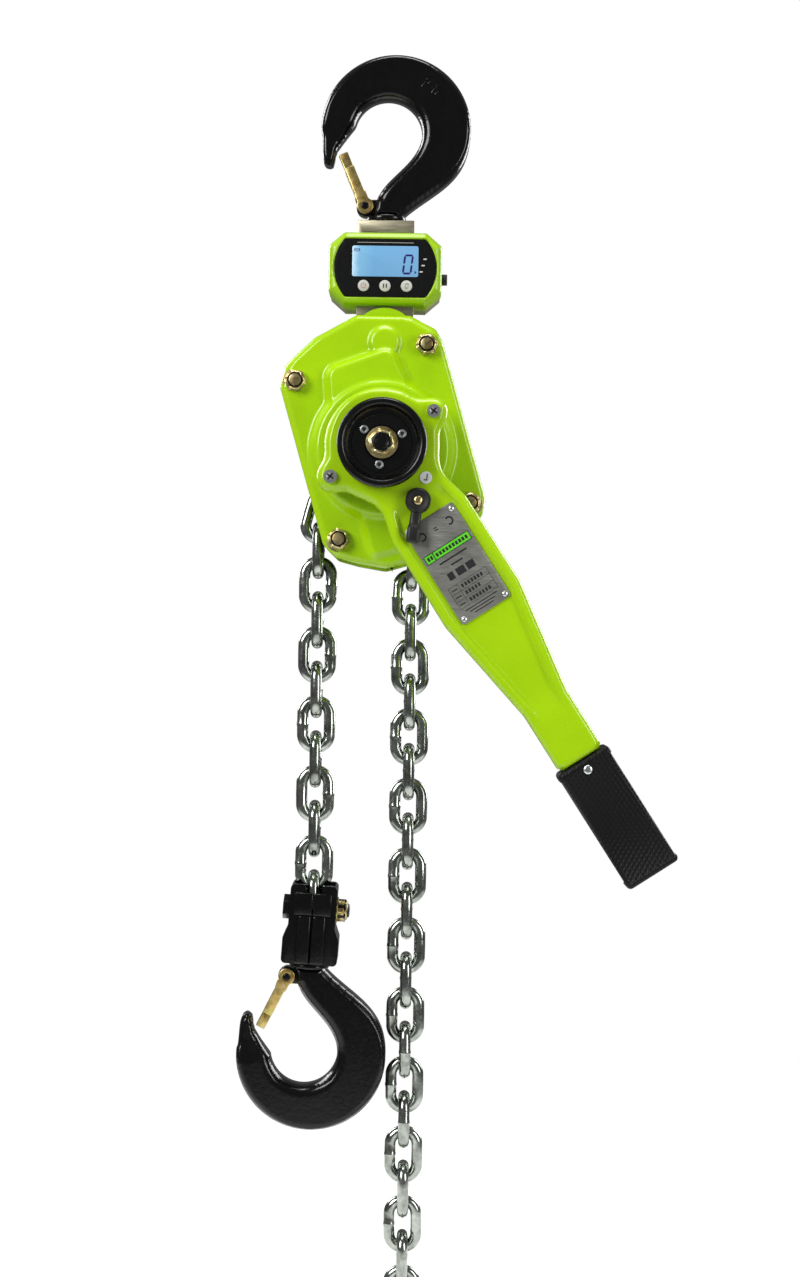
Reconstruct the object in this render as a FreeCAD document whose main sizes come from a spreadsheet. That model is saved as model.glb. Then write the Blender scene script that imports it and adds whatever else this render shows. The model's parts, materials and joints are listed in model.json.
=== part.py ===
# Lever chain hoist with an inline load indicator, hanging from its top hook.
# Millimetres, +X right, +Z up, the hand wheel and the lever face -Y.
# The origin is the inner crown of the top hook, where the hoist hangs.
import FreeCAD, Part
import Sketcher
import math
import os
import re

Vector = FreeCAD.Vector
Rotation = FreeCAD.Rotation
Placement = FreeCAD.Placement
AXIS_X, AXIS_Y, AXIS_Z = Vector(1, 0, 0), Vector(0, 1, 0), Vector(0, 0, 1)

SIZES = {
    # whole hoist
    "body_tilt": (16.1, "degrees that the body leans about the hub"),
    "lever_lean": (33.1, "degrees from straight down to the lever"),
    "gap": (0.3, "running clearance"),
    # hooks
    "bowl_radius": (29.0, "inner radius of a hook bowl"),
    "hook_radius": (64.2, "outer radius of a hook"),
    "hook_thick": (30.0, "hook thickness"),
    "ear_thick": (11.0, "thickness of the latch ear"),
    "neck_length": (104.8, "seat to the underside of a hook neck"),
    "pin_below_neck": (105.8, "suspension pin below the hook neck"),
    "pin_drop": ("=neck_length + pin_below_neck", "suspension pin below the hook seat"),
    "pin_to_hub": (94.0, "hub axis below the suspension pin"),
    "hub_drop": ("=pin_drop + pin_to_hub", "hub axis below the hook seat"),
    "shank_radius": (11.0, "hook shank"),
    "collar_radius": (17.0, "hook collar"),
    "latch_length": (50.0, "latch from pin to end"),
    "latch_wide": (24.0, "latch over its cheeks"),
    "latch_wall": (2.0, "latch sheet"),
    "latch_pin_radius": (3.0, "latch pin"),
    "nut_radius": (17.0, "shank nut across corners, halved"),
    "nut_high": (15.0, "shank nut height"),
    "bearing_high": (6.0, "thrust bearing height"),
    # load cell and display
    "block_half": (24.3, "half width of the load cell block"),
    "block_deep": (22.0, "half depth of the load cell block"),
    "window_half": (18.0, "half width of the nut window"),
    "eye_radius": (20.0, "round end of the load cell block"),
    "display_half": (48.0, "half width of the display unit"),
    "display_below_neck": (14.5, "display top below the hook neck"),
    "display_top": ("=neck_length + display_below_neck", "display top below the seat"),
    "display_high": (61.3, "display height"),
    "display_bottom": ("=display_top + display_high", "display bottom below the seat"),
    "display_front": (35.0, "display face in front of the middle plane"),
    "display_back": (27.0, "display back behind the middle plane"),
    "corner_x": (12.5, "display corner chamfer, across"),
    "corner_z": (11.0, "display corner chamfer, up"),
    "display_wall": (2.0, "display cover wall"),
    "panel_thick": (0.8, "keypad panel thickness"),
    "lcd_wide": (56.0, "LCD window width"),
    "lcd_high": (26.0, "LCD window height"),
    "lcd_below_top": (25.1, "LCD centre below the display top"),
    "lcd_drop": ("=display_top + lcd_below_top", "LCD centre below the seat"),
    "key_radius": (4.8, "key radius"),
    "key_pitch": (18.2, "key spacing"),
    "key_below_top": (46.0, "keys below the display top"),
    "key_drop": ("=display_top + key_below_top", "keys below the seat"),
    # hoist frame
    "plate_gap": (46.0, "between the side plates"),
    "plate_thick": (6.0, "side plate thickness"),
    "body_left": (69.5, "cover edge left of the hub"),
    "body_right": (73.0, "cover edge right of the hub"),
    "body_foot": (97.0, "cover bottom below the hub"),
    "body_wall": (2.5, "cover sheet"),
    "lug_radius": (28.0, "round plate top about the suspension pin"),
    "suspension_radius": (8.0, "suspension pin"),
    "stay_radius": (5.0, "stay bolt thread"),
    "spacer_radius": (8.0, "stay bolt spacer"),
    "stay_left": (55.5, "left stays from the hub"),
    "stay_right": (59.0, "right stays from the hub"),
    "stay_up": (75.0, "upper stays above the hub"),
    "stay_down": (63.0, "lower stays below the hub"),
    "frame_nut_flat": (17.0, "frame nut across flats"),
    "frame_nut_high": (10.0, "frame nut height"),
    "cover_deep": (16.0, "brake cover in front of its side plate"),
    "cover_front": ("=plate_gap / 2 + plate_thick + cover_deep",
                    "brake cover face in front of the middle plane"),
    "drum_deep": (13.0, "brake drum in front of its cover"),
    "drum_front": ("=cover_front + drum_deep",
                   "brake drum face in front of the middle plane"),
    "drum_radius": (60.0, "brake drum radius"),
    "gear_deep": (33.0, "gear cover behind its side plate"),
    "gear_back": ("=plate_gap / 2 + plate_thick + gear_deep",
                  "gear cover back behind the middle plane"),
    # chain and sheave
    "wire": (9.7, "chain wire diameter"),
    "pitch": (30.0, "chain pitch"),
    "link_inside": (13.5, "width inside a link"),
    "bow_radius": ("=link_inside / 2 + wire / 2", "centreline radius of a link bow"),
    "strand_left": (54.5, "load strand left of the hub"),
    "sheave_radius": (42.0, "load sheave over its teeth"),
    "sheave_half": (21.0, "half width of the load sheave"),
    "groove_radius": (18.5, "bottom of the sheave groove"),
    "journal_radius": (15.0, "sheave journal"),
    "bearing_radius": (20.0, "sheave bearing outside"),
    # gears, shaft and brake
    "module": (1.5, "gear module"),
    "small_teeth": (12, "teeth of a pinion"),
    "large_teeth": (36, "teeth of a gear wheel"),
    "shaft_radius": (8.0, "pinion shaft"),
    "gear_shaft_radius": (5.0, "intermediate gear journal"),
    "disc_radius": (30.0, "friction disc"),
    "hub_sleeve": (14.0, "brake hub sleeve"),
    "ratchet_radius": (42.0, "ratchet disc over its teeth"),
    "ratchet_teeth": (12, "ratchet teeth"),
    "ratchet_thick": (6.0, "ratchet disc thickness"),
    "friction_thick": (3.0, "friction disc thickness"),
    "pawl_pin_radius": (3.5, "pawl pin"),
    "change_radius": (25.0, "change gear over its teeth"),
    "wheel_radius": (36.7, "hand wheel radius"),
    "wheel_deep": (17.0, "hand wheel rim in front of the lever"),
    "wheel_front": ("=lever_front + wheel_deep",
                    "hand wheel rim in front of the middle plane"),
    # lever
    "head_radius": (47.0, "lever head"),
    "ear_offset": (50.0, "lever screw from the hub"),
    "ear_radius": (11.0, "ear round a lever screw"),
    "arm_half": (36.0, "half width of the lever arm"),
    "tail_half": (21.0, "half width of the arm at the grip"),
    "tang_half": (17.0, "half width of the tang in the grip"),
    "taper_start": (155.0, "arm straight to here"),
    "taper_end": (250.0, "arm tapered to here"),
    "grip_start": (305.5, "grip begins"),
    "grip_end": (417.0, "grip ends"),
    "grip_half": (24.5, "half width of the grip"),
    "lever_clear": (6.0, "lever head in front of the brake drum"),
    "lever_back": ("=drum_front + lever_clear", "lever head back"),
    "shell_deep": (17.0, "depth of one lever shell"),
    "lever_split": ("=lever_back + shell_deep", "plane between the lever shells"),
    "lever_front": ("=lever_split + shell_deep", "lever head face"),
    "panel_deep": (5.0, "recess of the arm behind the lever head"),
    "panel_front": ("=lever_front - panel_deep", "recessed face of the arm"),
    "selector_offset": (55.0, "selector pivot from the hub"),
    "selector_half_turn": (40.5, "degrees from neutral to each end"),
    "knob_radius": (10.5, "selector knob"),
    "knob_reach": (35.0, "selector arm length"),
    "plate_start": (70.0, "nameplate begins"),
    "plate_end": (161.0, "nameplate ends"),
    "nameplate_half": (23.5, "nameplate half width"),
    # bottom yoke
    "yoke_lean": (3.6, "degrees that the bottom yoke leans"),
    "yoke_top": (22.0, "yoke above its bolt"),
    "yoke_bottom": (46.0, "yoke below its bolt"),
    "yoke_half": (20.0, "half width of the yoke at the top"),
    "yoke_wide": (24.0, "half width of the yoke at the bottom"),
    "yoke_deep": (20.0, "half depth of the yoke"),
    "yoke_slot": (7.0, "half width of the link slot"),
    "yoke_bolt_radius": (6.0, "yoke bolt"),
}

LOAD_LINKS = 9      # links of the load strand that swing with the hook
SLACK_LINKS = 21    # links of the slack strand
CHANGE_TEETH = 16   # teeth of the change gear that the selector pawl drives
ROCK_ROOM = 1 / math.cos(math.radians(15))   # the yoke rocks 15 degrees round the last link
PRESSURE = math.radians(25)

doc = FreeCAD.newDocument("LeverChainHoist")
sheet = doc.addObject("Spreadsheet::Sheet", "Sizes")
for row, (alias, (number, note)) in enumerate(SIZES.items(), start=1):
    sheet.set(f"A{row}", note)
    sheet.set(f"B{row}", "0")
    sheet.setAlias(f"B{row}", alias)
for alias, (number, note) in SIZES.items():
    sheet.set(alias, str(number))
doc.recompute()
parts = []


# ---- expressions ----------------------------------------------------------

def rule(text):
    """The expression with every size read from the sheet."""
    def named(match):
        word = match.group()
        return f"Sizes.{word}" if word in SIZES else word
    return re.sub(r"[a-z_]+", named, str(text))


def size(text):
    """The number that an expression comes to now."""
    return float(sheet.evalExpression(rule(text)))


def put(thing, x="0", y="0", z="0", turn=None):
    """Binds where a thing stands. turn is an axis and an angle."""
    if turn:
        axis, angle = turn
        thing.Placement = Placement(Vector(), Rotation(axis, size(angle)))
        thing.setExpression("Placement.Rotation.Angle", rule(angle))
    for name, text in (("x", x), ("y", y), ("z", z)):
        thing.setExpression(f"Placement.Base.{name}", rule(text))
    return thing


def part(thing, label):
    """Names a finished sub-part."""
    thing.Label = label
    parts.append(thing)
    return thing


def hoist_part(thing, label):
    """A sub-part of the tilted hoist body, drawn about the hub."""
    put(thing, z="-hub_drop", turn=(-AXIS_Y, "body_tilt"))
    return part(thing, label)


def lever_part(thing, label):
    """A sub-part of the lever, drawn hanging straight down from the hub."""
    put(thing, z="-hub_drop", turn=(-AXIS_Y, "lever_lean"))
    return part(thing, label)


def yoke_part(thing, label):
    """A sub-part of the bottom yoke, drawn about its bolt."""
    put(thing, x="-strand_left", z=f"-hub_drop + {YOKE_PIN_Z}", turn=(AXIS_Y, "yoke_lean"))
    return part(thing, label)


# ---- primitives and booleans ----------------------------------------------

def box(x, y, z):
    """A box between pairs of expressions."""
    made = doc.addObject("Part::Box", "Box")
    for name, (low, high) in (("Length", x), ("Width", y), ("Height", z)):
        made.setExpression(name, rule(f"({high}) - ({low})"))
    return put(made, x[0], y[0], z[0])


def rod(radius, along, low, high, first="0", second="0"):
    """A cylinder along X, Y or Z. first and second are its other coordinates."""
    made = doc.addObject("Part::Cylinder", "Rod")
    made.setExpression("Radius", rule(radius))
    made.setExpression("Height", rule(f"({high}) - ({low})"))
    if along == "x":
        made.Placement = Placement(Vector(), Rotation(AXIS_Y, 90))
        return put(made, low, first, second)
    if along == "y":
        made.Placement = Placement(Vector(), Rotation(-AXIS_X, 90))
        return put(made, first, low, second)
    return put(made, first, second, low)


def hexagon(flat, along, low, high, first="0", second="0"):
    """A hexagon bar along X or Y or Z, with its size across the flats."""
    made = doc.addObject("Part::Prism", "Hexagon")
    made.Polygon = 6
    made.setExpression("Circumradius", rule(f"({flat}) * {1 / math.sqrt(3):.6f}"))
    made.setExpression("Height", rule(f"({high}) - ({low})"))
    if along == "x":
        made.Placement = Placement(Vector(), Rotation(AXIS_Y, 90))
        return put(made, low, first, second)
    if along == "y":
        made.Placement = Placement(Vector(), Rotation(-AXIS_X, 90))
        return put(made, first, low, second)
    return put(made, first, second, low)


def union(*things):
    made = doc.addObject("Part::MultiFuse", "Union")
    made.Shapes = list(things)
    return made


def minus(base, *tools):
    made = doc.addObject("Part::Cut", "Cut")
    made.Base = base
    made.Tool = tools[0] if len(tools) == 1 else union(*tools)
    return made


def tube(outer, inner, along, low, high, first="0", second="0"):
    return minus(rod(outer, along, low, high, first, second),
                 rod(inner, along, low, high, first, second))


def group(*things):
    """Several separate solids of one node."""
    made = doc.addObject("Part::Compound", "Group")
    made.Links = list(things)
    return made


def shaped(shape, label, place=None):
    """A sub-part whose shape is worked out in code."""
    made = doc.addObject("Part::Feature", "Shaped")
    made.Shape = shape
    if place:
        made.Placement = place
    return part(made, label)


# ---- sketches, pads and pockets --------------------------------------------

def body():
    return doc.addObject("PartDesign::Body", "Body")


def sketch(owner, role, lift, outlines, circles):
    """A sketch on an origin plane whose points and circles follow the sheet."""
    made = owner.newObject("Sketcher::SketchObject", "Sketch")
    plane = next(f for f in owner.Origin.OriginFeatures if f.Role == role)
    made.AttachmentSupport = [(plane, "")]
    made.MapMode = "FlatFace"
    made.setExpression("AttachmentOffset.Base.z", rule(lift))

    def bound(kind, *ends_and_text):
        *ends, text = ends_and_text
        index = made.addConstraint(Sketcher.Constraint(kind, *ends, size(text)))
        made.setExpression(f"Constraints[{index}]", rule(text))

    for outline in outlines:
        first = made.GeometryCount
        points = [Vector(size(x), size(y), 0) for x, y in outline]
        count = len(points)
        for index in range(count):
            made.addGeometry(Part.LineSegment(points[index], points[(index + 1) % count]))
        for index, (x, y) in enumerate(outline):
            line, following = first + index, first + (index + 1) % count
            made.addConstraint(Sketcher.Constraint("Coincident", line, 2, following, 1))
            bound("DistanceX", -1, 1, line, 1, x)
            bound("DistanceY", -1, 1, line, 1, y)
    for x, y, radius in circles:
        centre = Vector(size(x), size(y), 0)
        curve = made.addGeometry(Part.Circle(centre, AXIS_Z, size(radius)))
        bound("DistanceX", -1, 1, curve, 3, x)
        bound("DistanceY", -1, 1, curve, 3, y)
        bound("Radius", curve, radius)
    return made


def slab(owner, front, back, outlines=(), circles=()):
    """Adds material between two depths, both given as Y."""
    made = owner.newObject("PartDesign::Pad", "Pad")
    made.Profile = sketch(owner, "XZ_Plane", f"-({back})", outlines, circles)
    made.setExpression("Length", rule(f"({back}) - ({front})"))
    return made


def hollow(owner, front, back, outlines=(), circles=()):
    """Cuts material away between two depths, both given as Y."""
    made = owner.newObject("PartDesign::Pocket", "Pocket")
    made.Profile = sketch(owner, "XZ_Plane", f"-({front})", outlines, circles)
    made.setExpression("Length", rule(f"({back}) - ({front})"))
    return made


def turned(profile):
    """A body of revolution about Y from (radius, y) points."""
    owner = body()
    drawn = sketch(owner, "XY_Plane", "0", [profile], ())
    made = owner.newObject("PartDesign::Revolution", "Revolution")
    made.Profile = drawn
    made.ReferenceAxis = (drawn, ["V_Axis"])
    made.Angle = 360
    return owner


def rounded(owner, radius, chosen):
    """Rounds the edges of a body that chosen() picks."""
    doc.recompute()
    tip = owner.Tip
    names = [f"Edge{index}" for index, edge in enumerate(tip.Shape.Edges, start=1)
             if chosen(edge)]
    made = owner.newObject("PartDesign::Fillet", "Fillet")
    made.Base = (tip, names)
    made.setExpression("Radius", rule(radius))
    return made


def along_y(edge):
    """True for a straight edge that runs along Y."""
    return (edge.Curve.TypeId == "Part::GeomLine"
            and abs(edge.tangentAt(edge.FirstParameter).y) > 0.99)


# ---- chain -----------------------------------------------------------------

def link_shape(lying):
    """One welded link about its centre, long along Z."""
    wire, bow = size("wire") / 2, size("bow_radius")
    straight = LONG / 2 - bow
    pieces = []
    for side in (1, -1):
        ring = Part.makeTorus(bow, wire, Vector(), AXIS_Z, -180, 180, 180)
        ring.rotate(Vector(), AXIS_X, 90)
        if side < 0:
            ring.rotate(Vector(), AXIS_Y, 180)
        ring.translate(Vector(0, 0, side * straight))
        pieces.append(ring)
        pieces.append(Part.makeCylinder(wire, 2 * straight, Vector(side * bow, 0, -straight)))
    link = pieces[0].multiFuse(pieces[1:]).removeSplitter()
    if lying:
        link.rotate(Vector(), AXIS_Z, 90)
    return link


def link_between(ends, lying):
    """A link whose wires cross the chain line at two points about the hub."""
    (x0, z0), (x1, z1) = ends
    link = link_shape(lying)
    lean = math.degrees(math.atan2(x1 - x0, z1 - z0))
    link.rotate(Vector(), AXIS_Y, lean)
    link.translate(Vector((x0 + x1) / 2, 0, (z0 + z1) / 2 - size("hub_drop")))
    return link


STEP = size("wire + gap")
LONG = size("pitch") + STEP   # across a lying link, wire centre to wire centre
SHORT = size("pitch") - STEP  # across a standing link, between the wires that it holds
POCKETS = 4
POCKET_PHASE = 38.5           # direction of the first pocket from the hub, degrees


def pitch_circle():
    """Radius on which the wire centres lie round the sheave."""
    half = math.pi / (2 * POCKETS)
    return math.hypot(size("pitch") / math.sin(half), STEP / math.cos(half)) / 2


def on_circle(degrees):
    turn = math.radians(degrees)
    return pitch_circle() * math.cos(turn), pitch_circle() * math.sin(turn)


def below(start, length, lean):
    """The next point of the chain, down from start and leaning to the left."""
    turn = math.radians(lean)
    return start[0] - length * math.sin(turn), start[1] - length * math.cos(turn)


HALF_LYING = math.degrees(math.asin(LONG / 2 / pitch_circle()))
RIGHT_EXIT = on_circle(POCKET_PHASE - HALF_LYING)
RIGHT_LOW = on_circle(POCKET_PHASE + HALF_LYING - 90)
LEFT_EXIT = on_circle(POCKET_PHASE + 90 + HALF_LYING)
LEFT_LOW = on_circle(POCKET_PHASE + 180 - HALF_LYING)


def sheave_links():
    """The three links that ride round on the sheave."""
    first = POCKET_PHASE
    links = []
    for centre, half, lying in ((first, HALF_LYING, True),
                                (first + 45, 45 - HALF_LYING, False),
                                (first + 90, HALF_LYING, True)):
        links.append(link_between((on_circle(centre - half), on_circle(centre + half)), lying))
    return links


def left_top():
    """Where the load strand starts to hang plumb."""
    across = size("strand_left") + LEFT_LOW[0]
    drop = math.sqrt((LONG + SHORT) ** 2 - across ** 2)
    return -size("strand_left"), LEFT_LOW[1] - drop


def transfer_links():
    """The links that lead on to and off the sheave."""
    top = left_top()
    share = LONG / (LONG + SHORT)
    middle = tuple(a + (b - a) * share for a, b in zip(LEFT_LOW, top))
    links = [link_between((LEFT_EXIT, LEFT_LOW), False),
             link_between((LEFT_LOW, middle), True),
             link_between((middle, top), False)]
    links.append(link_between((RIGHT_EXIT, RIGHT_LOW), False))
    first = below(RIGHT_LOW, LONG, RIGHT_LEANS[0])
    second = below(first, SHORT, RIGHT_LEANS[1])
    third = below(second, LONG, RIGHT_LEANS[1])
    links.append(link_between((RIGHT_LOW, first), True))
    links.append(link_between((first, second), False))
    links.append(link_between((second, third), True))
    return links, third


def strand(start, count, lying):
    """Links that hang plumb from a point, alternating."""
    links, point = [], start
    for _ in range(count):
        following = below(point, LONG if lying else SHORT, 0)
        links.append(link_between((point, following), lying))
        point, lying = following, not lying
    return links, point


RIGHT_LEANS = (11.6, 2.8)     # leans of the slack side below the sheave, degrees
LEAD_LINKS, LEAD_END = strand(left_top(), 2, True)
LOAD_STRAND, LOAD_END = strand(LEAD_END, LOAD_LINKS, True)
TRANSFER, SLACK_TOP = transfer_links()
SLACK_STRAND, SLACK_END = strand(SLACK_TOP, SLACK_LINKS, False)
# the yoke bolt rests in the lower bow of the last load link
YOKE_PIN_Z = round(LOAD_END[1] + size("wire / 2 + yoke_bolt_radius + gap"), 3)


def chain_parts():
    shaped(Part.makeCompound(sheave_links()), "chain_on_sheave")
    shaped(Part.makeCompound(TRANSFER), "chain_transfer_links")
    shaped(Part.makeCompound(LEAD_LINKS), "load_chain_lead")
    shaped(Part.makeCompound(LOAD_STRAND), "load_chain")
    shaped(Part.makeCompound(SLACK_STRAND), "slack_chain")
    # the stop ring hangs in the lower bow of the last slack link, a standing one
    ring_radius, ring_wire = size("bow_radius + 3"), size("wire / 2 - 1")
    bow = SLACK_END[1] - (LONG - SHORT) / 2
    top = bow + size("wire / 2 + gap") + ring_wire
    ring = Part.makeTorus(ring_radius, ring_wire, Vector(), AXIS_X)
    ring.translate(Vector(SLACK_END[0], 0, top - ring_radius - size("hub_drop")))
    shaped(ring, "slack_chain_stop")


# ---- hooks -----------------------------------------------------------------

def hook_outline():
    """The flat outline of a hook about its seat, opening to the left."""
    inner, outer = size("bowl_radius"), size("hook_radius")
    bowl, back = Vector(1, 0, -inner), Vector(7.6, 0, 37.4 - outer)

    def about(centre, radius, degrees):
        turn = math.radians(degrees)
        return centre + Vector(radius * math.cos(turn), 0, radius * math.sin(turn))

    neck = size("neck_length")
    points = [Vector(12, 0, 0.5 - neck), Vector(14.6, 0, 4.5 - neck)]
    outside = [Vector(29.9, 0, -87.9), Vector(53.9, 0, -69.5), about(back, outer, -20)]
    lines = [Part.LineSegment(points[0], points[1])]
    run = Part.BSplineCurve()
    run.interpolate([points[1]] + outside)
    crown = Part.Arc(outside[-1], about(back, outer, 80), about(back, outer, 182))
    tip = [about(back, outer, 182), Vector(-55.3, 0, -46), Vector(-50.6, 0, -57.6),
           Vector(-46.2, 0, -56.5), Vector(-44.2, 0, -46.5), Vector(-35.5, 0, -39.5),
           about(bowl, inner, 187)]
    tip_curve = Part.BSplineCurve()
    tip_curve.interpolate(tip)
    hollow_arc = Part.Arc(tip[-1], about(bowl, inner, 80), about(bowl, inner, -30))
    throat = [about(bowl, inner, -30), Vector(6, 0, -67), Vector(-6.5, 0, -83),
              Vector(-9.8, 0, -93), Vector(-12, 0, 0.5 - neck)]
    throat_curve = Part.BSplineCurve()
    throat_curve.interpolate(throat)
    lines += [run, crown, tip_curve, hollow_arc, throat_curve,
              Part.LineSegment(throat[-1], points[0])]
    return Part.Wire([line.toShape() for line in lines])


LATCH_PIVOT = Vector(-18.2, 0, -92.4)
LATCH_TURN = -23.2            # degrees that the shut latch leans to the left


def hook_shape(shank_end):
    """A forged hook with its shank and latch ear, about its seat."""
    thick, neck = size("hook_thick"), size("neck_length")
    face = Part.Face(hook_outline())
    face.translate(Vector(0, -thick / 2, 0))
    forged = face.extrude(Vector(0, thick, 0))
    collar = Part.makeCylinder(size("collar_radius"), 4, Vector(0, 0, -neck))
    shank = Part.makeCylinder(size("shank_radius"), shank_end, Vector(0, 0, -neck - shank_end))
    ear_half = size("ear_thick") / 2
    ear = Part.makeCylinder(7.5, 2 * ear_half, LATCH_PIVOT - AXIS_Y * ear_half, AXIS_Y)
    web = Part.makeBox(16, 2 * ear_half, 13, LATCH_PIVOT + Vector(0, -ear_half, -6.5))
    room = Part.makeCylinder(9, thick + 2, LATCH_PIVOT - AXIS_Y * (thick / 2 + 1), AXIS_Y)
    hole = Part.makeCylinder(size("latch_pin_radius + gap / 3"), thick,
                             LATCH_PIVOT - AXIS_Y * thick / 2, AXIS_Y)
    swing = forged.cut(room)
    return swing.multiFuse([collar, shank, ear, web]).cut(hole).removeSplitter()


def latch_shape():
    """The bent sheet latch about its pin, pointing up."""
    half, wall, length = size("latch_wide / 2"), size("latch_wall"), size("latch_length")
    cheek = Part.makeCylinder(7, 2 * half, Vector(0, -half, 0), AXIS_Y)
    blade = Part.makeBox(8, 2 * half, length - 6, Vector(-4, -half, 6))
    blade = blade.fuse(Part.makeBox(10, 2 * half, 12, Vector(-5, -half, 0)))
    inside = Part.makeBox(40, 2 * (half - wall), length * 0.7, Vector(-4 + wall, wall - half, 2))
    ear_room = Part.makeCylinder(10.5, 2 * (half - wall), Vector(0, wall - half, 0), AXIS_Y)
    narrow = Part.makeBox(30, half, 16, Vector(-15, 5, length - 14))
    narrow = narrow.fuse(Part.makeBox(30, half, 16, Vector(-15, -5 - half, length - 14)))
    hole = Part.makeCylinder(size("latch_pin_radius"), 2 * half, Vector(0, -half, 0), AXIS_Y)
    return cheek.fuse(blade).cut(inside).cut(ear_room).cut(narrow).cut(hole).removeSplitter()


def hook_set(prefix, shape, frame):
    """A hook with its latch, latch pin and spring."""
    shaped(shape, f"{prefix}_hook", frame)
    turned_in = Placement(LATCH_PIVOT, Rotation(AXIS_Y, LATCH_TURN))
    shaped(latch_shape(), f"{prefix}_latch", frame.multiply(turned_in))
    reach = size("latch_wide / 2") + 1
    pin = Part.makeCylinder(size("latch_pin_radius"), 2 * reach, Vector(0, -reach, 0), AXIS_Y)
    shaped(pin, f"{prefix}_latch_pin", frame.multiply(turned_in))
    near, far = size("ear_thick / 2 + gap"), size("latch_wide / 2 - latch_wall - gap")
    coils = []
    for side in (1, -1):
        start = Vector(0, near if side > 0 else -far, 0)
        coil = Part.makeCylinder(5, far - near, start, AXIS_Y)
        coils.append(coil.cut(Part.makeCylinder(size("latch_pin_radius + gap"), far - near,
                                                start, AXIS_Y)))
    shaped(Part.makeCompound(coils), f"{prefix}_latch_spring", frame.multiply(turned_in))


def hooks():
    window_top = 12 + size("bearing_high") + size("nut_high")
    hook_set("top", hook_shape(window_top + 2), Placement())
    neck = size("neck_length")
    button = Part.makeCylinder(15, 11, Vector(0, 0, -neck - 25.5))
    lower = hook_shape(20).fuse(button).removeSplitter()
    lean = Rotation(AXIS_Y, size("yoke_lean"))
    seat_drop = size("yoke_bottom + neck_length") + 0.6
    pin = Vector(-size("strand_left"), 0, YOKE_PIN_Z - size("hub_drop"))
    seat = pin - lean.multVec(AXIS_Z) * seat_drop
    hook_set("bottom", lower, Placement(seat, lean.multiply(Rotation(AXIS_X, 180))))


# ---- load cell, swivel and display -----------------------------------------

def load_cell():
    top = "-neck_length - 2"
    window = ("-neck_length - 14 - bearing_high - nut_high - 6", "-neck_length - 14")
    wide = box(("-block_half", "block_half"), ("-block_deep", "block_deep"),
               ("eye_radius - pin_drop", top))
    tongue = box(("-eye_radius", "eye_radius"), ("-block_deep", "block_deep"),
                 ("-pin_drop", "eye_radius - pin_drop"))
    eye = rod("eye_radius", "y", "-block_deep", "block_deep", "0", "-pin_drop")
    bore = rod("suspension_radius + gap", "y", "-block_deep - 1", "block_deep + 1",
               "0", "-pin_drop")
    throat = rod("shank_radius + gap", "z", "-neck_length - 16", "-neck_length")
    room = box(("-window_half", "window_half"), ("-block_deep - 1", "block_deep + 1"), window)
    part(minus(union(wide, tongue, eye), bore, throat, room), "load_cell_block")
    part(tube("shank_radius + 6", "shank_radius", "z",
              "-neck_length - 14 - bearing_high", "-neck_length - 14"),
         "swivel_thrust_bearing")
    nut = hexagon("nut_radius * 1.732", "z", "-neck_length - 14 - bearing_high - nut_high",
                  "-neck_length - 14 - bearing_high")
    part(minus(nut, rod("shank_radius", "z", "-neck_length - 40", "-neck_length")),
         "top_hook_nut")


def octagon(shrink):
    """The outline of the display unit, drawn in by a margin."""
    wide = f"display_half - {shrink}"
    top, low = f"-display_top - {shrink}", f"-display_bottom + {shrink}"
    return [(f"-({wide})", f"{low} + corner_z"), (f"-({wide})", f"{top} - corner_z"),
            (f"-({wide}) + corner_x", top), (f"{wide} - corner_x", top),
            (wide, f"{top} - corner_z"), (wide, f"{low} + corner_z"),
            (f"{wide} - corner_x", low), (f"-({wide}) + corner_x", low)]


def block_hole():
    wide = "block_half + gap"
    return [(f"-({wide})", "-display_top + 5"), (wide, "-display_top + 5"),
            (wide, "-display_bottom - 5"), (f"-({wide})", "-display_bottom - 5")]


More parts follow.
